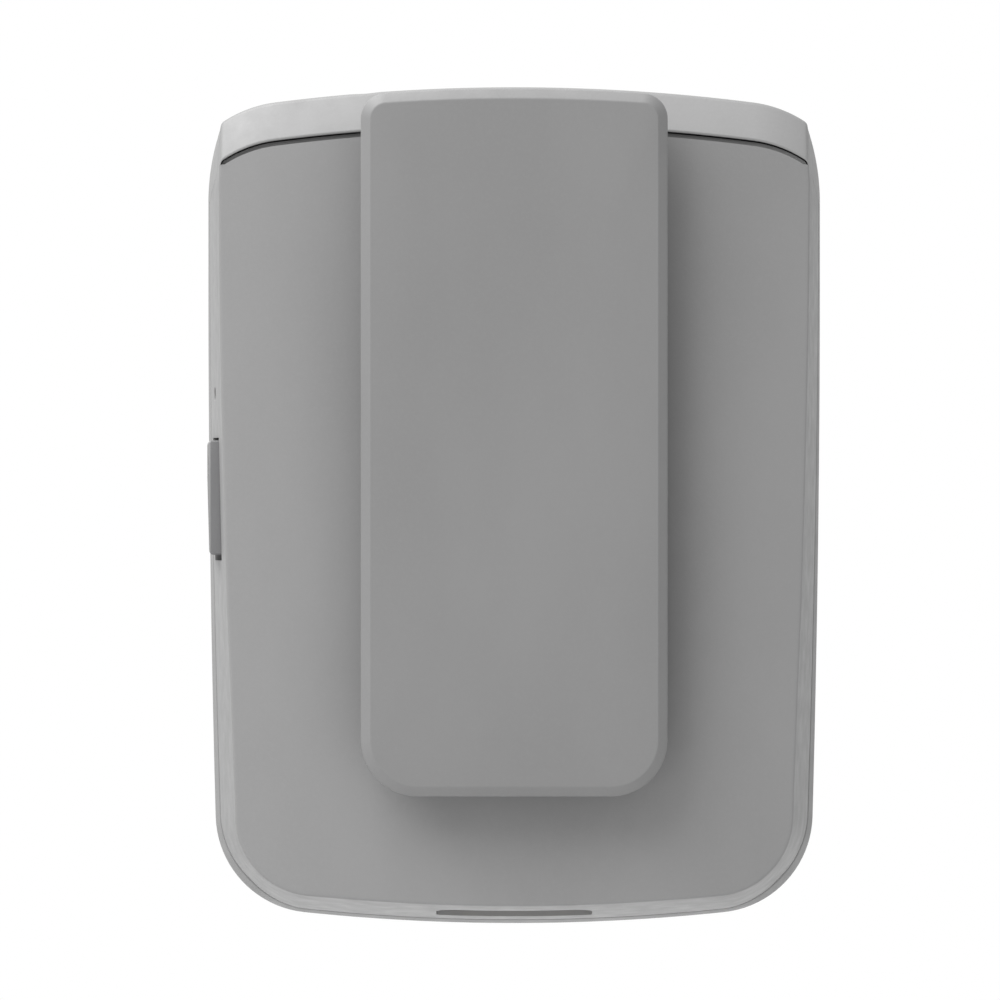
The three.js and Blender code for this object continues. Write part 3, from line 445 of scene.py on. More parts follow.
def rear_crease(wall=0.0, drop=0.0):
    """The ring where the drawn-in side meets the crowned rear face."""
    depth = crown(OUTLINE[:, 0], wall)
    for _ in range(3):
        ring = body_ring(depth, wall, drop=drop)
        depth = crown(ring[:, 0], wall)
    ring[:, 1] = depth
    return ring


def crowned_solid(name, wall, drop, front, crease_radius, shares):
    """A solid from a front depth back to the crowned rear face."""
    crease = rear_crease(wall, drop)
    face = [shrink(crease, share, lambda x: crown(x, wall)) for share in shares]
    mouth = body_ring(front, wall, drop=drop)
    rings = [shrink(mouth, 0.5), mouth, crease, *face]
    radii = [0, 0.15 if wall == 0 else 0, crease_radius] + [0] * len(face)
    return skin(name, np.array(rounded(rings, radii, 5)))


def rear_plug():
    """What the rear housing keeps under the cap, with a ledge that closes the gap behind its edge."""
    return solid("plug", [
        body_ring(-12.0, TAIL_GAP, TAIL_WALL, REAR_DROP),
        body_ring(LEDGE_Y, TAIL_GAP, TAIL_WALL, REAR_DROP),
        body_ring(LEDGE_Y, TAIL_GAP, TAIL_WALL, LEDGE_DROP),
        body_ring(4.0, TAIL_GAP, TAIL_WALL, LEDGE_DROP),
    ])


# Where the fittings lie: the housings' holes and the pieces that go into them share these.
SCREWS = [(-23, 9.5), (23, 9.5), (-23, 52.5), (23, 52.5)]
CLIP_SCREWS = [62.5, 73.5]
SCREW_HOLE = 1.3
HOOK_X = (-24, 24)
CONTACT_X = [-5.0, 0.0, 5.0]
CONTACT_Y = -2.95
LENSES = {"link_lens": -5.0, "battery_lens": 5.0}
LENS_Y, LENS_RADIUS = -1.0, 0.9
CHARGE_LENS = (-1.4, 56.05)
JACK = (-16.0, -1.0)
MUTE_X, MUTE_Y, MUTE_TRAVEL = 13.8, -0.9, 3.0
FLAP_Y, FLAP_Z = (-4.1, 1.3), (39.0, 51.2)
BUTTON_LENGTH, BUTTON_HEIGHT, BUTTON_Z = 12.0, 6.0, 71.0
BATTERY_HALF, BATTERY_Z, BATTERY_CORNERS, BATTERY_WALL = 27.3, (5.7, 56.7), (7.7, 2.7), 1.3
LATCH_HALF, LATCH_Z = 6.0, (49.6, 54.2)


def rear_housing():
    piece = crowned_solid("rear_shell", 0.0, 0.0, PARTING_Y, 0.3, np.linspace(0.985, 0.03, 28))
    hollow = crowned_solid("hollow", WALL, REAR_DROP, PARTING_Y + 1, 0.5, np.linspace(0.96, 0.05, 10))
    cut(piece, above_seam(rear_plug()))
    cut(piece, hollow)
    return fit_out_rear(piece)


def fit_out_rear(piece):
    """Bosses, the grip pad, the flap's pocket, the contact well and the holes."""
    boss_foot = REAR_Y + WALL - 0.4
    bosses = [rod(2.3, (boss_foot, 0.0), x, z) for x, z in SCREWS]
    bosses += [rod(2.6, (boss_foot, -5.2), 0, z) for z in CLIP_SCREWS]
    well_block = block((-10, 10), (-7.2, 0.9), (2.2, 3.4), 0.3)
    grip_pad = block((-9, 9), (REAR_Y - 0.2, REAR_Y + 0.5), (24, 56), 1.5)
    join(piece, merged([*bosses, well_block, grip_pad]))
    well = swap(prism("well", rounded_rectangle((-8.25, 8.25), (-5.7, -0.2), (2.2, 0.5)), (-4, 2.6)), "xzy")
    pocket = prism("pocket", rounded_rectangle((-36, -30.4), (38.5, 51.5), 0.15, 3),
                   (FLAP_Y[0] - GAP, FLAP_Y[1] + GAP))
    holes = [rod(SCREW_HOLE, (-6.6, 4), x, z, sides=24) for x, z in SCREWS]
    holes += [rod(SCREW_HOLE, (-12, -4), 0, z, sides=24) for z in CLIP_SCREWS]
    holes += [rod(LENS_RADIUS + GAP, (75, 90), x, LENS_Y, "z") for x in LENSES.values()]
    charge_hole = rod(0.8, (-34, -26), *CHARGE_LENS, "x")
    jack_hole = rod(3.9, (75, 90), *JACK, "z", 48)
    mute_slot = block((MUTE_X - 0.8, MUTE_X + MUTE_TRAVEL + 0.8), (MUTE_Y - 0.9, MUTE_Y + 0.9), (78, 90))
    cut(piece, merged([*holes, charge_hole, jack_hole, mute_slot, well, pocket]))
    contact_holes = [rod(1.4, (0, 5), x, CONTACT_Y, "z") for x in CONTACT_X]
    socket_mouth = block((-32, -27), (-3.0, 0.2), (41.2, 49.2), 0.5)
    cut(piece, merged([*contact_holes, socket_mouth]))
    return shade(piece)


# ---------------------------------------------------------------- front housing and cap
def front_plug():
    """What the front housing keeps under the cap, drawn in at its front face along the bevel."""
    edge_wall, edge_drop = FRONT_BEVEL + TAIL_GAP, FRONT_DROP - FRONT_BEVEL
    return solid("plug", [
        body_ring(2.0, TAIL_GAP, TAIL_WALL, FRONT_DROP),
        body_ring(INNER_Y, TAIL_GAP, TAIL_WALL, FRONT_DROP),
        body_ring(FRONT_Y, edge_wall, TAIL_WALL, edge_drop),
        body_ring(FRONT_Y + 1, edge_wall, TAIL_WALL, edge_drop),
    ])


def tongue():
    """A curved bar just in front of the parting line, along the top under the cap."""
    across = np.linspace(-26, 26, 40)
    top = [(x, HEIGHT - 2.7 - sag(x)) for x in across]
    low = [(-x, HEIGHT - 5.2 - sag(x)) for x in across]
    return prism("tongue", np.array(low + top), (3.6, 4.8))


def front_openings():
    """The battery's bay, the power button's hole and the slots for the cap's hooks."""
    bay_x = (-BATTERY_HALF - GAP, BATTERY_HALF + GAP)
    bay_z = (BATTERY_Z[0] - GAP, BATTERY_Z[1] + GAP)
    bay = rounded_rectangle(bay_x, bay_z, tuple(corner + GAP for corner in BATTERY_CORNERS), 14)
    button = pill(BUTTON_LENGTH + 2 * GAP, BUTTON_HEIGHT + 2 * GAP, BUTTON_Z)
    return [
        prism("bay", bay, (6, FRONT_Y - 0.2, FRONT_Y, FRONT_Y + 1), grow=(0, 0, 0.2, 0.2)),
        prism("button", button, (7, FRONT_Y - 0.25, FRONT_Y, FRONT_Y + 1), grow=(0, 0, 0.25, 0.25)),
        *[block((x - 2.3, x + 2.3), (4.95, 7.7), (76, 90)) for x in HOOK_X],
    ]


def front_housing():
    rings = [body_ring(PARTING_Y + GAP), body_ring(PARTING_Y + RIM_DEPTH), body_ring(EDGE_Y),
             case_ring(FRONT_Y, wall=FRONT_BEVEL)]
    piece = solid("front_shell", rings, [0.12, 0.4, 1.0, 0.5], 6)
    hollow = solid("hollow", [body_ring(y, WALL, drop=FRONT_DROP) for y in (2.0, INNER_Y)])
    cut(piece, above_seam(front_plug()))
    cut(piece, hollow)
    join(piece, tongue())
    cut(piece, merged(front_openings()))
    return shade(piece)


def pill(length, height, z, steps=20):
    radius = height / 2
    reach = length / 2 - radius
    points = []
    for side, start in ((1, -90), (-1, 90)):
        for angle in np.radians(np.linspace(start, start + 180, steps + 1)):
            points.append((side * reach + radius * math.cos(angle), z + radius * math.sin(angle)))
    return np.array(points)


def cap_shell():
    """A band round the top: every ring is the case's outline, lowered as it goes back and down."""
    kept = np.flatnonzero(LEVEL > 73.5)
    under, roof = CAP_BAND + CAP_LIP, CAP_ROOF
    rim_y, hollow_y = PARTING_Y + RIM_DEPTH, -3.5

    def ring(y, drop, inside=0.0, wall=0.0):
        return body_ring(y, wall, inside, drop)[kept]

    rings = [
        (ring(CAP_REAR, CAP_BAND), 0.1),
        (ring(CAP_REAR + SLOPE_DEPTH, 0.0), 0.45),
        (ring(PARTING_Y, 0.0), 0),
        (ring(rim_y, 0.0), 0),
        (ring(EDGE_Y, 0.0), 1.0),
        (ring(FRONT_Y, 0.0, wall=FRONT_BEVEL), 0.5),
        (ring(FRONT_Y, under - FRONT_BEVEL, TAIL_WALL, FRONT_BEVEL), 0.12),
        (ring(INNER_Y, under, TAIL_WALL), 0.12),
        (ring(INNER_Y, roof, TAIL_WALL), 0.2),
        (ring(rim_y, roof, TAIL_WALL), 0),
        (ring(PARTING_Y, roof, TAIL_WALL), 0),
        (ring(hollow_y, roof, TAIL_WALL), 0.2),
        (ring(hollow_y, under, TAIL_WALL), 0.1),
        (ring(CAP_REAR, under, TAIL_WALL), 0.08),
    ]
    sections, radii = zip(*rings)
    return skin("cap_shell", np.array(rounded(sections, radii)), wrap_u=True, wrap_v=False)


def top_cap():
    """The cap's band cut off along its lower edge, with two snap hooks and the openings on top."""
    piece = cap_shell()
    below = [(y, z + SEAM_GAP) for y, z in SEAM] + [(15.0, 60.0), (-15.0, 60.0)]
    cut(piece, side_prism(below, (-40, 40)))
    join(piece, merged([block((x - 2, x + 2), (5.2, 6.6), (80.9, 85.6)) for x in HOOK_X]))
    join(piece, merged([block((x - 1.9, x + 1.9), (5.3, 7.4), (79.6, 81.2)) for x in HOOK_X]))
    surface = HEIGHT - sag(JACK[0])
    profile = [(0, 80), (3.9, 80), (3.9, surface - 0.3), (4.25, surface + 0.1), (4.25, 92), (0, 92)]
    jack = lathe("jack", profile, "z", (*JACK, 0.0), 64)
    slot = block((MUTE_X - 2.1, MUTE_X + MUTE_TRAVEL + 2.1), (MUTE_Y - 2.2, MUTE_Y + 2.2), (80, 92))
    lens_holes = [rod(LENS_RADIUS + 0.12, (80, 92), x, LENS_Y, "z") for x in LENSES.values()]
    cut(piece, merged([jack, slot, *lens_holes]))
    return shade(piece)


# ---------------------------------------------------------------- belt clip
CLIP_HALF, CLIP_BOTTOM, CLIP_TOP = 16.2, 13.6, 88.3
CLIP_OUTER, CLIP_INNER = -17.7, -15.1
CLIP_BEVEL, PIN_Y, PIN_Z = 1.0, -13.0, 68.0


def clip_outline():
    """The leaf's outline: round lower corners, tighter upper ones, and a top that follows the case."""
    low, high = 6.0, 2.7
    shoulder = CLIP_HALF - high
    shoulder_z = CLIP_TOP - sag(shoulder) - high
    points = []

    def corner(x, z, radius, start, steps):
        for angle in np.radians(np.linspace(start, start + 90, steps + 1)):
            points.append((x + radius * math.cos(angle), z + radius * math.sin(angle)))

    corner(CLIP_HALF - low, CLIP_BOTTOM + low, low, -90, 18)
    corner(shoulder, shoulder_z, high, 0, 12)
    for x in np.linspace(shoulder, -shoulder, 30)[1:-1]:
        points.append((x, CLIP_TOP - sag(x)))
    corner(-shoulder, shoulder_z, high, 90, 12)
    corner(low - CLIP_HALF, CLIP_BOTTOM + low, low, 180, 18)
    return np.array(points)


def lug(y_base, span, radius, x):
    """A lug drawn in depth and height that ends in an arc round the hinge pin."""
    towards = 1 if y_base < PIN_Y else -1
    points = [(y_base, span[0])]
    for angle in np.linspace(-1.2, 1.2, 18):
        points.append((PIN_Y + towards * radius * math.cos(angle), PIN_Z + radius * math.sin(angle)))
    points.append((y_base, span[1]))
    return side_prism(points, x)


def belt_clip():
    outline = clip_outline()
    normals = outline_normals(outline)
    centre = np.array([0.0, (CLIP_BOTTOM + CLIP_TOP) / 2])

    def ring(inset, y):
        return ring_xz(outline - normals * inset, y)

    def shrunk(inset, y):
        return ring_xz(centre + (outline - normals * inset - centre) * 0.6, y)

    rings = [
        shrunk(CLIP_BEVEL, CLIP_OUTER),
        ring(CLIP_BEVEL, CLIP_OUTER),
        ring(0.0, CLIP_OUTER + 0.9),
        ring(0.0, CLIP_INNER - 0.5),
        ring(0.5, CLIP_INNER),
        shrunk(0.5, CLIP_INNER),
    ]
    piece = skin("clip_leaf", np.array(rounded(rings, [0, 0.14, 0.16, 0.3, 0.3, 0], 4)))
    for x in ((-11.6, -9.6), (9.6, 11.6)):
        join(piece, lug(CLIP_INNER - 0.4, (61, 75), 2.1, x))
    tooth = [(CLIP_INNER - 0.4, 14.9), (REAR_Y - 0.4, 16.2), (REAR_Y - 0.4, 17.4), (CLIP_INNER - 0.4, 20.5)]
    join(piece, side_prism(tooth, (-12, 12)))
    cut(piece, rod(1.3, (-14, 14), PIN_Y, PIN_Z, "x"))
    return shade(piece, 25)


# ---------------------------------------------------------------- smaller pieces
def usb_cover():
    """The flap, whose outer face is flush at the hinge and a little proud at the top."""
    outer, inner, hinge = -32.5, -30.7, (-31.9, 39.6)
    points = []
    for angle in np.radians(np.linspace(180, 270, 8)):
        points.append((hinge[0] + 0.4 * math.cos(angle), hinge[1] + 0.5 * math.sin(angle)))
    points += [(inner - 0.15, hinge[1] - 0.5), (inner, hinge[1] - 0.35)]
    points += [(inner, FLAP_Z[1] - 0.2), (inner - 0.2, FLAP_Z[1])]
    for angle in np.radians(np.linspace(90, 180, 8)):
        points.append((outer + 0.5 + 0.5 * math.cos(angle), FLAP_Z[1] - 0.5 + 0.5 * math.sin(angle)))
    points.append((outer, FLAP_Z[1] - 4))
    piece = prism("flap", np.array(points), FLAP_Y, radii=[0.22, 0.22])
    join(piece, block((inner - 0.2, -29.2), (-2, -0.8), (42.4, 48), 0.4))
    grips = [block((outer - 1, outer + 0.16), (FLAP_Y[0] + 0.9, FLAP_Y[1] - 0.9), (z, z + 0.4), 0.1)
             for z in (48.2, 49.0, 49.8)]
    cut(piece, merged(grips))
    return shade(piece)


def battery_front():
    outline = rounded_rectangle((-BATTERY_HALF, BATTERY_HALF), BATTERY_Z, BATTERY_CORNERS, 14)
    inner = BATTERY_HALF - BATTERY_WALL
    inner_z = (BATTERY_Z[0] + BATTERY_WALL, BATTERY_Z[1] - BATTERY_WALL)
    inner_corners = tuple(corner - BATTERY_WALL for corner in BATTERY_CORNERS)
    hollow = rounded_rectangle((-inner, inner), inner_z, inner_corners, 14)
    piece = prism("battery_face", outline, (6.5, FRONT_Y), radii=[0.1, 0.4])
    cut(piece, prism("hollow", hollow, (5.2, FRONT_Y - BATTERY_WALL)))
    latch_x = (-LATCH_HALF - GAP, LATCH_HALF + GAP)
    latch_hole = rounded_rectangle(latch_x, (47.7, LATCH_Z[1] + GAP), 0.8)
    cut(piece, prism("latch_hole", latch_hole, (7, FRONT_Y - 0.3, FRONT_Y, 12), grow=(0, 0, 0.3, 0.3)))
    grip_rows = [prism("grip", rounded_rectangle((-15, 15), (z, z + 0.7), 0.34), (FRONT_Y - 0.25, 12))
                 for z in (12, 14, 16, 18, 20)]
    cut(piece, *grip_rows)
    return shade(piece)


def battery_latch():
    piece = block((-LATCH_HALF, LATCH_HALF), (8.1, 10), LATCH_Z, 0.6, 0.25)
    join(piece, block((-7.6, 7.6), (7.2, 8.6), (47.6, 55.1), 0.5))
    cut(piece, *[block((-4.6, 4.6), (9.6, 11), (z, z + 0.5), 0.2) for z in (50.6, 51.8, 53.0)])
    return shade(piece)


def power_button():
    centre = np.array([0.0, BUTTON_Z])
    top = pill(BUTTON_LENGTH, BUTTON_HEIGHT, BUTTON_Z)
    flange = pill(BUTTON_LENGTH + 1.6, BUTTON_HEIGHT + 1.6, BUTTON_Z)

    def ring(outline, share, y):
        return ring_xz(centre + (outline - centre) * share, y)

    rings = [ring(flange, 0.4, 6.9), ring(flange, 1, 6.9), ring(flange, 1, 8.1), ring(top, 1, 8.1),
             ring(top, 1, 10.0), ring(top, 0.8, 9.95), ring(top, 0.45, 9.7), ring(top, 0.1, 9.62)]
    piece = skin("power_key", np.array(rounded(rings, [0, 0.2, 0.2, 0, 0.3, 0.4, 0.8, 0], 4)))
    join(piece, rod(1.5, (0.0, 7.1), 0, BUTTON_Z))
    return shade(piece)


def mute_knob():
    piece = swap(prism("mute_slide", rounded_rectangle((12, 15.6), (-2.8, 1.0), 0.4), (84.7, 87.6),
                       radii=[0.1, 0.3]), "xzy")
    flange = prism("flange", rounded_rectangle((8.4, 19.4), (-3.3, 3.0), 0.4), (84.3, 84.95))
    join(piece, swap(flange, "xzy"))
    join(piece, block((13.3, 14.3), (-1.5, -0.3), (81.3, 84.8), 0.1))
    cut(piece, *[block((MUTE_X + step - 0.2, MUTE_X + step + 0.2), (-4, 4), (87.2, 89), 0.05)
                 for step in (-1.1, 0, 1.1)])
    return shade(piece)


def jack_collar():
    top = HEIGHT - sag(JACK[0]) - 0.25
    outer = [(3.6, 83.9), (3.6, top - 0.3), (3.5, top - 0.08), (3.3, top), (2.98, top), (2.72, top - 0.22)]
    thread = []
    level = top - 0.3
    while level > 84.4:
        thread += [(2.72, level), (2.95, level - 0.2)]
        level -= 0.45
    return shade(tube("jack_ring", outer + thread + [(2.72, 83.9)], "z", (*JACK, 0.0), 64), 28)


def jack_barrel():
    outside = [(0, 70), (3.0, 70), (3.2, 70.2), (3.2, 83.4), (3.0, 83.6)]
    bore = [(1.95, 83.6), (1.8, 83.4), (1.8, 72), (0, 72)]
    return shade(lathe("jack_barrel", outside + bore, "z", (*JACK, 0.0), 48))


def screw(name, tip, length, towards):
    """A pan head with a crossed recess, its seat at tip, facing along Y by the sign of towards."""
    x, y, z = tip
    profile = [(0, -length), (0.6, -length), (1.0, 0.6 - length), (1.0, 0), (1.9, 0), (1.9, 0.35),
               (1.75, 0.62), (1.3, 0.82), (0.7, 0.9), (0, 0.9)]
    piece = lathe(name, [(r, towards * h) for r, h in profile], "y", (x, y, z), 40)
    levels = sorted((y + towards * 0.45, y + towards * 2))
    cut(piece, block((x - 1.1, x + 1.1), levels, (z - 0.2, z + 0.2), 0.08))
    cut(piece, block((x - 0.2, x + 0.2), levels, (z - 1.1, z + 1.1), 0.08))
    return shade(piece)


def clip_spring():
    """Round wire: a leg on the bracket, the coil round the pin, and a leg behind the leaf."""
    half, coil, turns, per_turn, wire_radius = 4.4, 1.5, 4.5, 24, 0.25
    path = [(-half, -12.15, 60.5), (-half, -12.15, 63), (-half, -12.1, 65)]
    count = int(turns * per_turn)
    for step in range(count + 1):
        angle = 2 * math.pi * step / per_turn
        x = -half + 2 * half * step / count
        path.append((x, PIN_Y + coil * math.cos(angle), PIN_Z + coil * math.sin(angle)))
    path += [(half, PIN_Y - coil, PIN_Z - 4), (half, PIN_Y - coil, PIN_Z - 10)]
    return shade(wire("clip_coil", np.array(path), wire_radius))


def wire(name, path, radius, sides=12):
    """A round wire along a path, its section carried from point to point without twisting."""
    tangents = np.gradient(path, axis=0)
    tangents /= np.linalg.norm(tangents, axis=1, keepdims=True)
    side = np.cross(tangents[0], [1.0, 0.0, 0.0])
    side /= np.linalg.norm(side)
    angles = np.linspace(0, 2 * np.pi, sides, endpoint=False)
    rings = []
    for point, tangent in zip(path, tangents):
        side = side - tangent * (side @ tangent)
        side /= np.linalg.norm(side)
        up = np.cross(tangent, side)
        rings.append(point + radius * (np.outer(np.cos(angles), side) + np.outer(np.sin(angles), up)))
    return skin(name, np.array(rings))


def softened(node, name, width=0.12):
    """A copy of a CAD node whose hard edges are softened by a narrow round bevel."""
    piece = frame["nodes"][node].copy()
    piece.data = piece.data.copy()
    piece.name = name
    for key in list(piece.keys()):
        if key.startswith("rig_"):
            del piece[key]
    piece.parent = None
    bpy.context.scene.collection.objects.link(piece)
    with editing(piece.data) as shape:
        bmesh.ops.remove_doubles(shape, verts=shape.verts, dist=MERGE_DISTANCE)
        bmesh.ops.dissolve_limit(shape, angle_limit=math.radians(1), verts=shape.verts, edges=shape.edges)
    modifier = piece.modifiers.new("soft_edges", "BEVEL")
    modifier.width = width * MM
    modifier.segments = 2
    modifier.limit_method = "ANGLE"
    modifier.angle_limit = math.radians(40)
    apply_modifiers(piece)
    return shade(piece)


# ---------------------------------------------------------------- materials
class Nodes:
    """A small helper that adds shader nodes and links them."""

    def __init__(self, name):
        self.material = bpy.data.materials.new(name)
        self.material.use_nodes = True
        self.tree = self.material.node_tree
        self.shader = self.tree.nodes["Principled BSDF"]
        self.place = self.add("ShaderNodeTexCoord").outputs["Object"]

    def add(self, kind, inputs=None, **settings):
        node = self.tree.nodes.new(kind)
        for key, value in settings.items():
            setattr(node, key, value)
        for key, value in (inputs or {}).items():
            if isinstance(value, bpy.types.NodeSocket):
                self.tree.links.new(value, node.inputs[key])
            else:
                node.inputs[key].default_value = value
        return node

    def noise(self, scale, detail=3.0, stretch=None):
        place = self.place
        if stretch:
            place = self.add("ShaderNodeMapping", {"Vector": place, "Scale": stretch}).outputs["Vector"]
        inputs = {"Vector": place, "Scale": scale, "Detail": detail}
        return self.add("ShaderNodeTexNoise", inputs).outputs["Fac"]

    def span(self, value, low, high, start=0.3, stop=0.7):
        """A value between low and high as the input goes from start to stop."""
        inputs = {"Value": value, "From Min": start, "From Max": stop, "To Min": low, "To Max": high}
        return self.add("ShaderNodeMapRange", inputs).outputs["Result"]

    def mix(self, share, first, second):
        node = self.add("ShaderNodeMix", data_type="RGBA")
        self.tree.links.new(share, node.inputs[0])
        for index, colour in ((6, first), (7, second)):
            if isinstance(colour, bpy.types.NodeSocket):
                self.tree.links.new(colour, node.inputs[index])
            else:
                node.inputs[index].default_value = (*colour, 1.0)
        return node.outputs[2]

    def feed(self, name, value):
        if isinstance(value, bpy.types.NodeSocket):
            self.tree.links.new(value, self.shader.inputs[name])
        else:
            self.shader.inputs[name].default_value = value

    def bump(self, height, distance, strength=1.0, below=None):
        inputs = {"Height": height, "Distance": distance, "Strength": strength}
        if below is not None:
            inputs["Normal"] = below
        return self.add("ShaderNodeBump", inputs).outputs["Normal"]

    def edges(self, radius):
        """Near 1 along convex and concave edges, and 0 on open faces."""
        rounded_normal = self.add("ShaderNodeBevel", {"Radius": radius}, samples=4).outputs["Normal"]
        normal = self.add("ShaderNodeNewGeometry").outputs["Normal"]
        facing = self.add("ShaderNodeVectorMath", {0: rounded_normal, 1: normal}, operation="DOT_PRODUCT")
        return self.span(facing.outputs["Value"], 1.0, 0.0, 0.80, 0.995)


def shade_of(colour, factor):
    return tuple(channel * factor for channel in colour)


def moulded(name, colour, roughness=0.55, grain=0.012, wear=1.14, edge_highlight_colour=None):
    """Moulded plastic or rubber: a fine eroded grain, faint flow marks and slightly polished edges.

    A second, lighter colour, where given, is a painted highlight on the flap's outermost 0.3 mm, standing
    in for the light its rounded outer edge catches."""
    nodes = Nodes(name)
    flow = nodes.noise(55, 4, (1.0, 1.0, 0.5))
    base = nodes.mix(nodes.span(flow, 0, 1, 0.35, 0.65), shade_of(colour, 0.96), shade_of(colour, 1.04))
    specks = nodes.noise(2600, 2)
    base = nodes.mix(nodes.span(specks, 0, 0.25, 0.45, 0.75), base, shade_of(colour, 1.1))
    if edge_highlight_colour:
        across = nodes.add("ShaderNodeSeparateXYZ", {"Vector": nodes.place}).outputs["X"]
        # Painted highlight: beyond x = -32.2 mm the flap's rounded outer edge takes the lighter colour, as
        # if lit.
        base = nodes.mix(nodes.span(across, 1, 0, -32.2 * MM, -32.12 * MM), base, edge_highlight_colour)
    edge = nodes.edges(0.00025)
    patches = nodes.span(nodes.noise(900, 3), 0.2, 0.8)
    worn = nodes.add("ShaderNodeMath", {0: edge, 1: patches}, operation="MULTIPLY")
    nodes.feed("Base Color", nodes.mix(worn.outputs[0], base, shade_of(colour, wear)))
    nodes.feed("Roughness", nodes.span(nodes.noise(420, 5), roughness - 0.06, roughness + 0.08))
    coarse = nodes.bump(nodes.noise(2400, 2), grain * 0.8 * MM)
    nodes.feed("Normal", nodes.bump(nodes.noise(6500, 2), grain * 0.5 * MM, below=coarse))
    nodes.feed("IOR", 1.46)
    return nodes.material


def metal(name, colour, roughness=0.3, stretch=(1.0, 1.0, 30.0)):
    """Metal with drawn lines along one way and a little tarnish."""
    nodes = Nodes(name)
    lines = nodes.noise(1800, 3, stretch)
    tarnish = nodes.noise(500, 4)
    nodes.feed("Base Color", nodes.mix(nodes.span(tarnish, 0, 1), shade_of(colour, 0.82), colour))
    nodes.feed("Roughness", nodes.span(lines, roughness - 0.07, roughness + 0.1))
    nodes.feed("Metallic", 1.0)
    nodes.feed("Normal", nodes.bump(lines, 0.004 * MM))
    return nodes.material


def circuit_board(name):
    """Solder mask over copper runs: darker mask between, raised lighter lines where copper lies."""
    nodes = Nodes(name)
    grid = nodes.add("ShaderNodeTexBrick", {
        "Vector": nodes.place, "Scale": 260.0, "Mortar Size": 0.035, "Mortar Smooth": 0.2,
        "Color1": (0, 0, 0, 1), "Color2": (0, 0, 0, 1), "Mortar": (1, 1, 1, 1)})
    copper = grid.outputs["Color"]
    mask, run = (0.006, 0.05, 0.022), (0.016, 0.105, 0.045)
    share = nodes.add("ShaderNodeRGBToBW", {"Color": copper}).outputs["Val"]
    nodes.feed("Base Color", nodes.mix(share, mask, run))
    nodes.feed("Roughness", nodes.span(nodes.noise(700, 3), 0.28, 0.42))
    nodes.feed("Normal", nodes.bump(copper, 0.02 * MM))
    return nodes.material


def clear_lens(name):
    """Clear moulded plastic with a slightly frosted body."""
    nodes = Nodes(name)
    cloud = nodes.noise(900, 3)
    nodes.feed("Base Color", nodes.mix(nodes.span(cloud, 0, 1), (0.7, 0.73, 0.75), (0.85, 0.88, 0.9)))
    nodes.feed("Roughness", nodes.span(cloud, 0.08, 0.22))
    nodes.feed("Transmission Weight", 0.6)
    nodes.feed("IOR", 1.49)
    return nodes.material


SHELL = moulded("shell_plastic", (0.154, 0.154, 0.154))
LEAF = moulded("clip_plastic", (0.131, 0.131, 0.131))
# The flap's outer edge gets a lighter colour (0.2) as a painted highlight.
FLAP = moulded("flap_rubber", (0.115, 0.115, 0.117), 0.72, 0.02, 1.1, edge_highlight_colour=(0.2, 0.2, 0.2))
DARK = moulded("dark_plastic", (0.03, 0.03, 0.032), roughness=0.5, wear=1.6)
RUBBER = moulded("soft_rubber", (0.115, 0.115, 0.117), roughness=0.72, grain=0.02, wear=1.1)
CHIP = moulded("chip_resin", (0.012, 0.012, 0.013), roughness=0.45, wear=1.5)
STEEL = metal("steel", (0.36, 0.365, 0.375), 0.38)
CONTACT = metal("contact_metal", (0.76, 0.56, 0.2), 0.26)
CELL = metal("cell_foil", (0.42, 0.44, 0.47), 0.38)
BOARD = circuit_board("circuit_board")
LENS = clear_lens("lens_plastic")


# ---------------------------------------------------------------- the pieces on their bodies
def finish(piece, node, material, name=None):
    """Gives a piece its material and slot, and puts it on the body of the CAD node it stands for."""
    piece.name = name or node + "_looks"
    piece.data.materials.clear()
    piece.data.materials.append(material)
    for polygon in piece.data.polygons:
        polygon.material_index = 0
    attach(piece, frame["nodes"][node]["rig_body"])
    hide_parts(node)
    return piece


def keep(node, material):
    """A CAD node whose shape is right keeps its mesh and gets a better material."""
    data = frame["nodes"][node].data
    data.materials.clear()
    data.materials.append(material)


def add_casing():
    finish(rear_housing(), "rear_housing", SHELL)
    finish(front_housing(), "front_housing", SHELL)
    finish(top_cap(), "top_cap", SHELL)
    finish(softened("inner_frame", "frame"), "inner_frame", DARK)
    for index, (x, z) in enumerate(SCREWS, 1):
        node = f"case_screw_{index}"
        finish(screw(node, (x, 1.8, z), 7.0, 1), node, STEEL)
    keep("case_seal", RUBBER)


def add_electronics():
    keep("main_board", BOARD)
    finish(softened("rf_shield", "shield", 0.25), "rf_shield", STEEL)
    for node in ("signal_processor", "audio_codec", "charge_controller"):
        finish(softened(node, node), node, CHIP)
    for node in ("antenna_left", "antenna_right"):
        finish(softened(node, node, 0.08), node, CONTACT)
    holder = softened("battery_contact_block", "contact_block")
    finish(holder, "battery_contact_block", DARK)
    pin_profile = [(0, 1.1), (0.6, 1.1), (0.6, 2.2), (0.5, 2.5), (0.25, 2.68), (0, 2.7)]
    stud_profile = [(0, 2.4), (0.85, 2.4), (1.05, 2.5), (1.1, 2.65), (1.1, 5.4), (0, 5.4)]
    for index, x in enumerate(CONTACT_X, 1):
        node = f"battery_contact_pin_{index}"
        pin = lathe(node, pin_profile, "y", (x, 0, 8.9), 32)
        finish(shade(pin), node, CONTACT)
        node = f"charging_contact_{index}"
        stud = lathe(node, stud_profile, "z", (x, CONTACT_Y, 0), 40)
        finish(shade(stud), node, CONTACT)


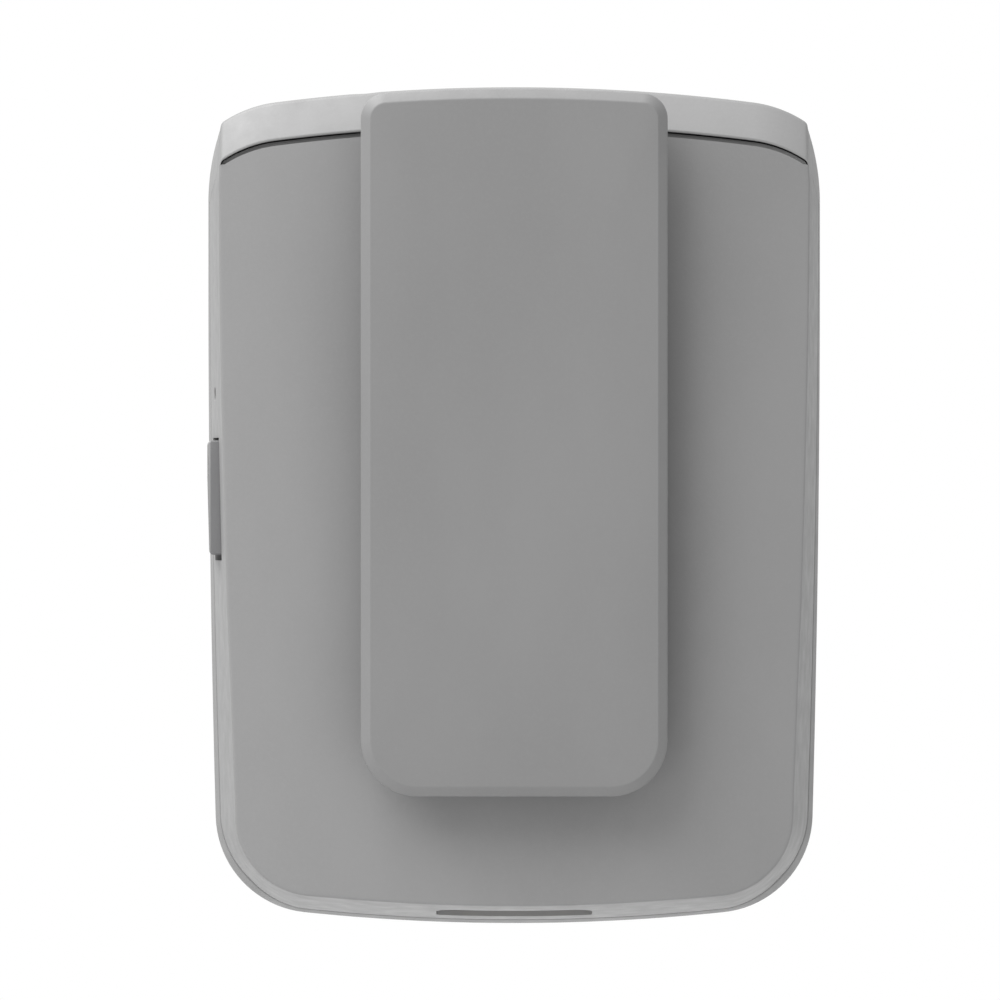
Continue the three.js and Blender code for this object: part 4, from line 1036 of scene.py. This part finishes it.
def add_controls():
    finish(jack_barrel(), "jack_socket", DARK)
    finish(jack_collar(), "jack_collar", STEEL)
    finish(mute_knob(), "mute_switch_knob", DARK)
    finish(softened("mute_switch_body", "mute_body", 0.2), "mute_switch_body", STEEL)
    finish(power_button(), "power_button", RUBBER)
    finish(softened("power_switch", "power_switch", 0.2), "power_switch", STEEL)
    profile = [(0, 80), (LENS_RADIUS, 80), (LENS_RADIUS, 88.0), (0.75, 88.15), (0.4, 88.2), (0, 88.2)]
    for node, x in LENSES.items():
        finish(shade(lathe(node, profile, "z", (x, LENS_Y, 0), 40)), node, LENS)
    profile = [(0, -31.2), (0.35, -31.2), (0.5, -31.05), (0.5, -28.4), (0, -28.4)]
    charge = lathe("charge", profile, "x", (0, *CHARGE_LENS), 32)
    finish(shade(charge), "charge_lens", LENS)
    finish(softened("usb_socket", "usb_shell", 0.15), "usb_socket", STEEL)
    finish(usb_cover(), "usb_cover", FLAP)


def add_battery():
    finish(battery_front(), "battery_shell_front", SHELL)
    finish(softened("battery_shell_back", "battery_tray"), "battery_shell_back", DARK)
    finish(softened("battery_cell", "cell", 1.2), "battery_cell", CELL)
    keep("battery_board", BOARD)
    finish(battery_latch(), "battery_latch", DARK)
    for index in range(1, 4):
        node = f"battery_pad_{index}"
        finish(softened(node, node, 0.1), node, CONTACT)


def add_clip():
    finish(softened("clip_bracket", "bracket", 0.15), "clip_bracket", DARK)
    finish(belt_clip(), "belt_clip", LEAF)
    profile = [(0, -12.3), (0.85, -12.3), (1.0, -12.15), (1.0, 12.15), (0.85, 12.3), (0, 12.3)]
    pin = lathe("pin", profile, "x", (0, PIN_Y, PIN_Z), 40)
    finish(shade(pin), "clip_hinge_pin", STEEL)
    finish(clip_spring(), "clip_spring", STEEL)
    for index, z in enumerate(CLIP_SCREWS, 1):
        node = f"clip_screw_{index}"
        finish(screw(node, (0, REAR_Y - 1.6, z), 6.0, -1), node, STEEL)


# ---------------------------------------------------------------- floor, lights and camera
def add_stage():
    radius, below = 0.6, 0.06
    place = (0, 0, BOTTOM - below)
    bpy.ops.mesh.primitive_circle_add(vertices=96, radius=radius, fill_type="NGON", location=place)
    floor = bpy.context.object
    floor.name = "floor"
    nodes = Nodes("pale_floor")
    tone = nodes.span(nodes.noise(8, 3), 0, 1)
    nodes.feed("Base Color", nodes.mix(tone, (0.62, 0.62, 0.62), (0.66, 0.66, 0.66)))
    nodes.feed("Roughness", 0.9)
    floor.data.materials.append(nodes.material)


def add_light(name, position, size, power):
    light = bpy.data.lights.new(name, "AREA")
    light.shape = "SQUARE"
    light.size = size
    light.energy = power
    lamp = linked(name, light)
    lamp.location = position
    aim = Vector((0, 0, 0)) - Vector(position)
    lamp.rotation_euler = aim.to_track_quat("-Z", "Y").to_euler()
    lamp.visible_camera = False


def add_lights():
    world = bpy.data.worlds.new("white_room")
    world.use_nodes = True
    world.node_tree.nodes["Background"].inputs["Color"].default_value = (1, 1, 1, 1)
    world.node_tree.nodes["Background"].inputs["Strength"].default_value = 1.0
    bpy.context.scene.world = world
    add_light("key_softbox", (-0.42, -0.5, 0.62), 0.7, 9.5)
    add_light("top_softbox", (-0.32, 0.1, 0.82), 0.6, 11.0)


def add_camera():
    """Straight on to the rear, from far away, so that nothing tapers."""
    distance, view_width = 4.0, 0.106
    centre_x, centre_z = -1.5 * MM, BOTTOM + 44.9 * MM
    camera = bpy.data.cameras.new("camera")
    camera.lens = camera.sensor_width * distance / view_width
    camera.clip_end = 20
    eye = linked("camera", camera)
    eye.location = (centre_x, MIDDLE - distance, centre_z)
    eye.rotation_euler = (math.pi / 2, 0, 0)
    bpy.context.scene.camera = eye


add_casing()
add_electronics()
add_controls()
add_battery()
add_clip()
add_stage()
add_lights()
add_camera()
bpy.context.scene.view_settings.view_transform = "Standard"
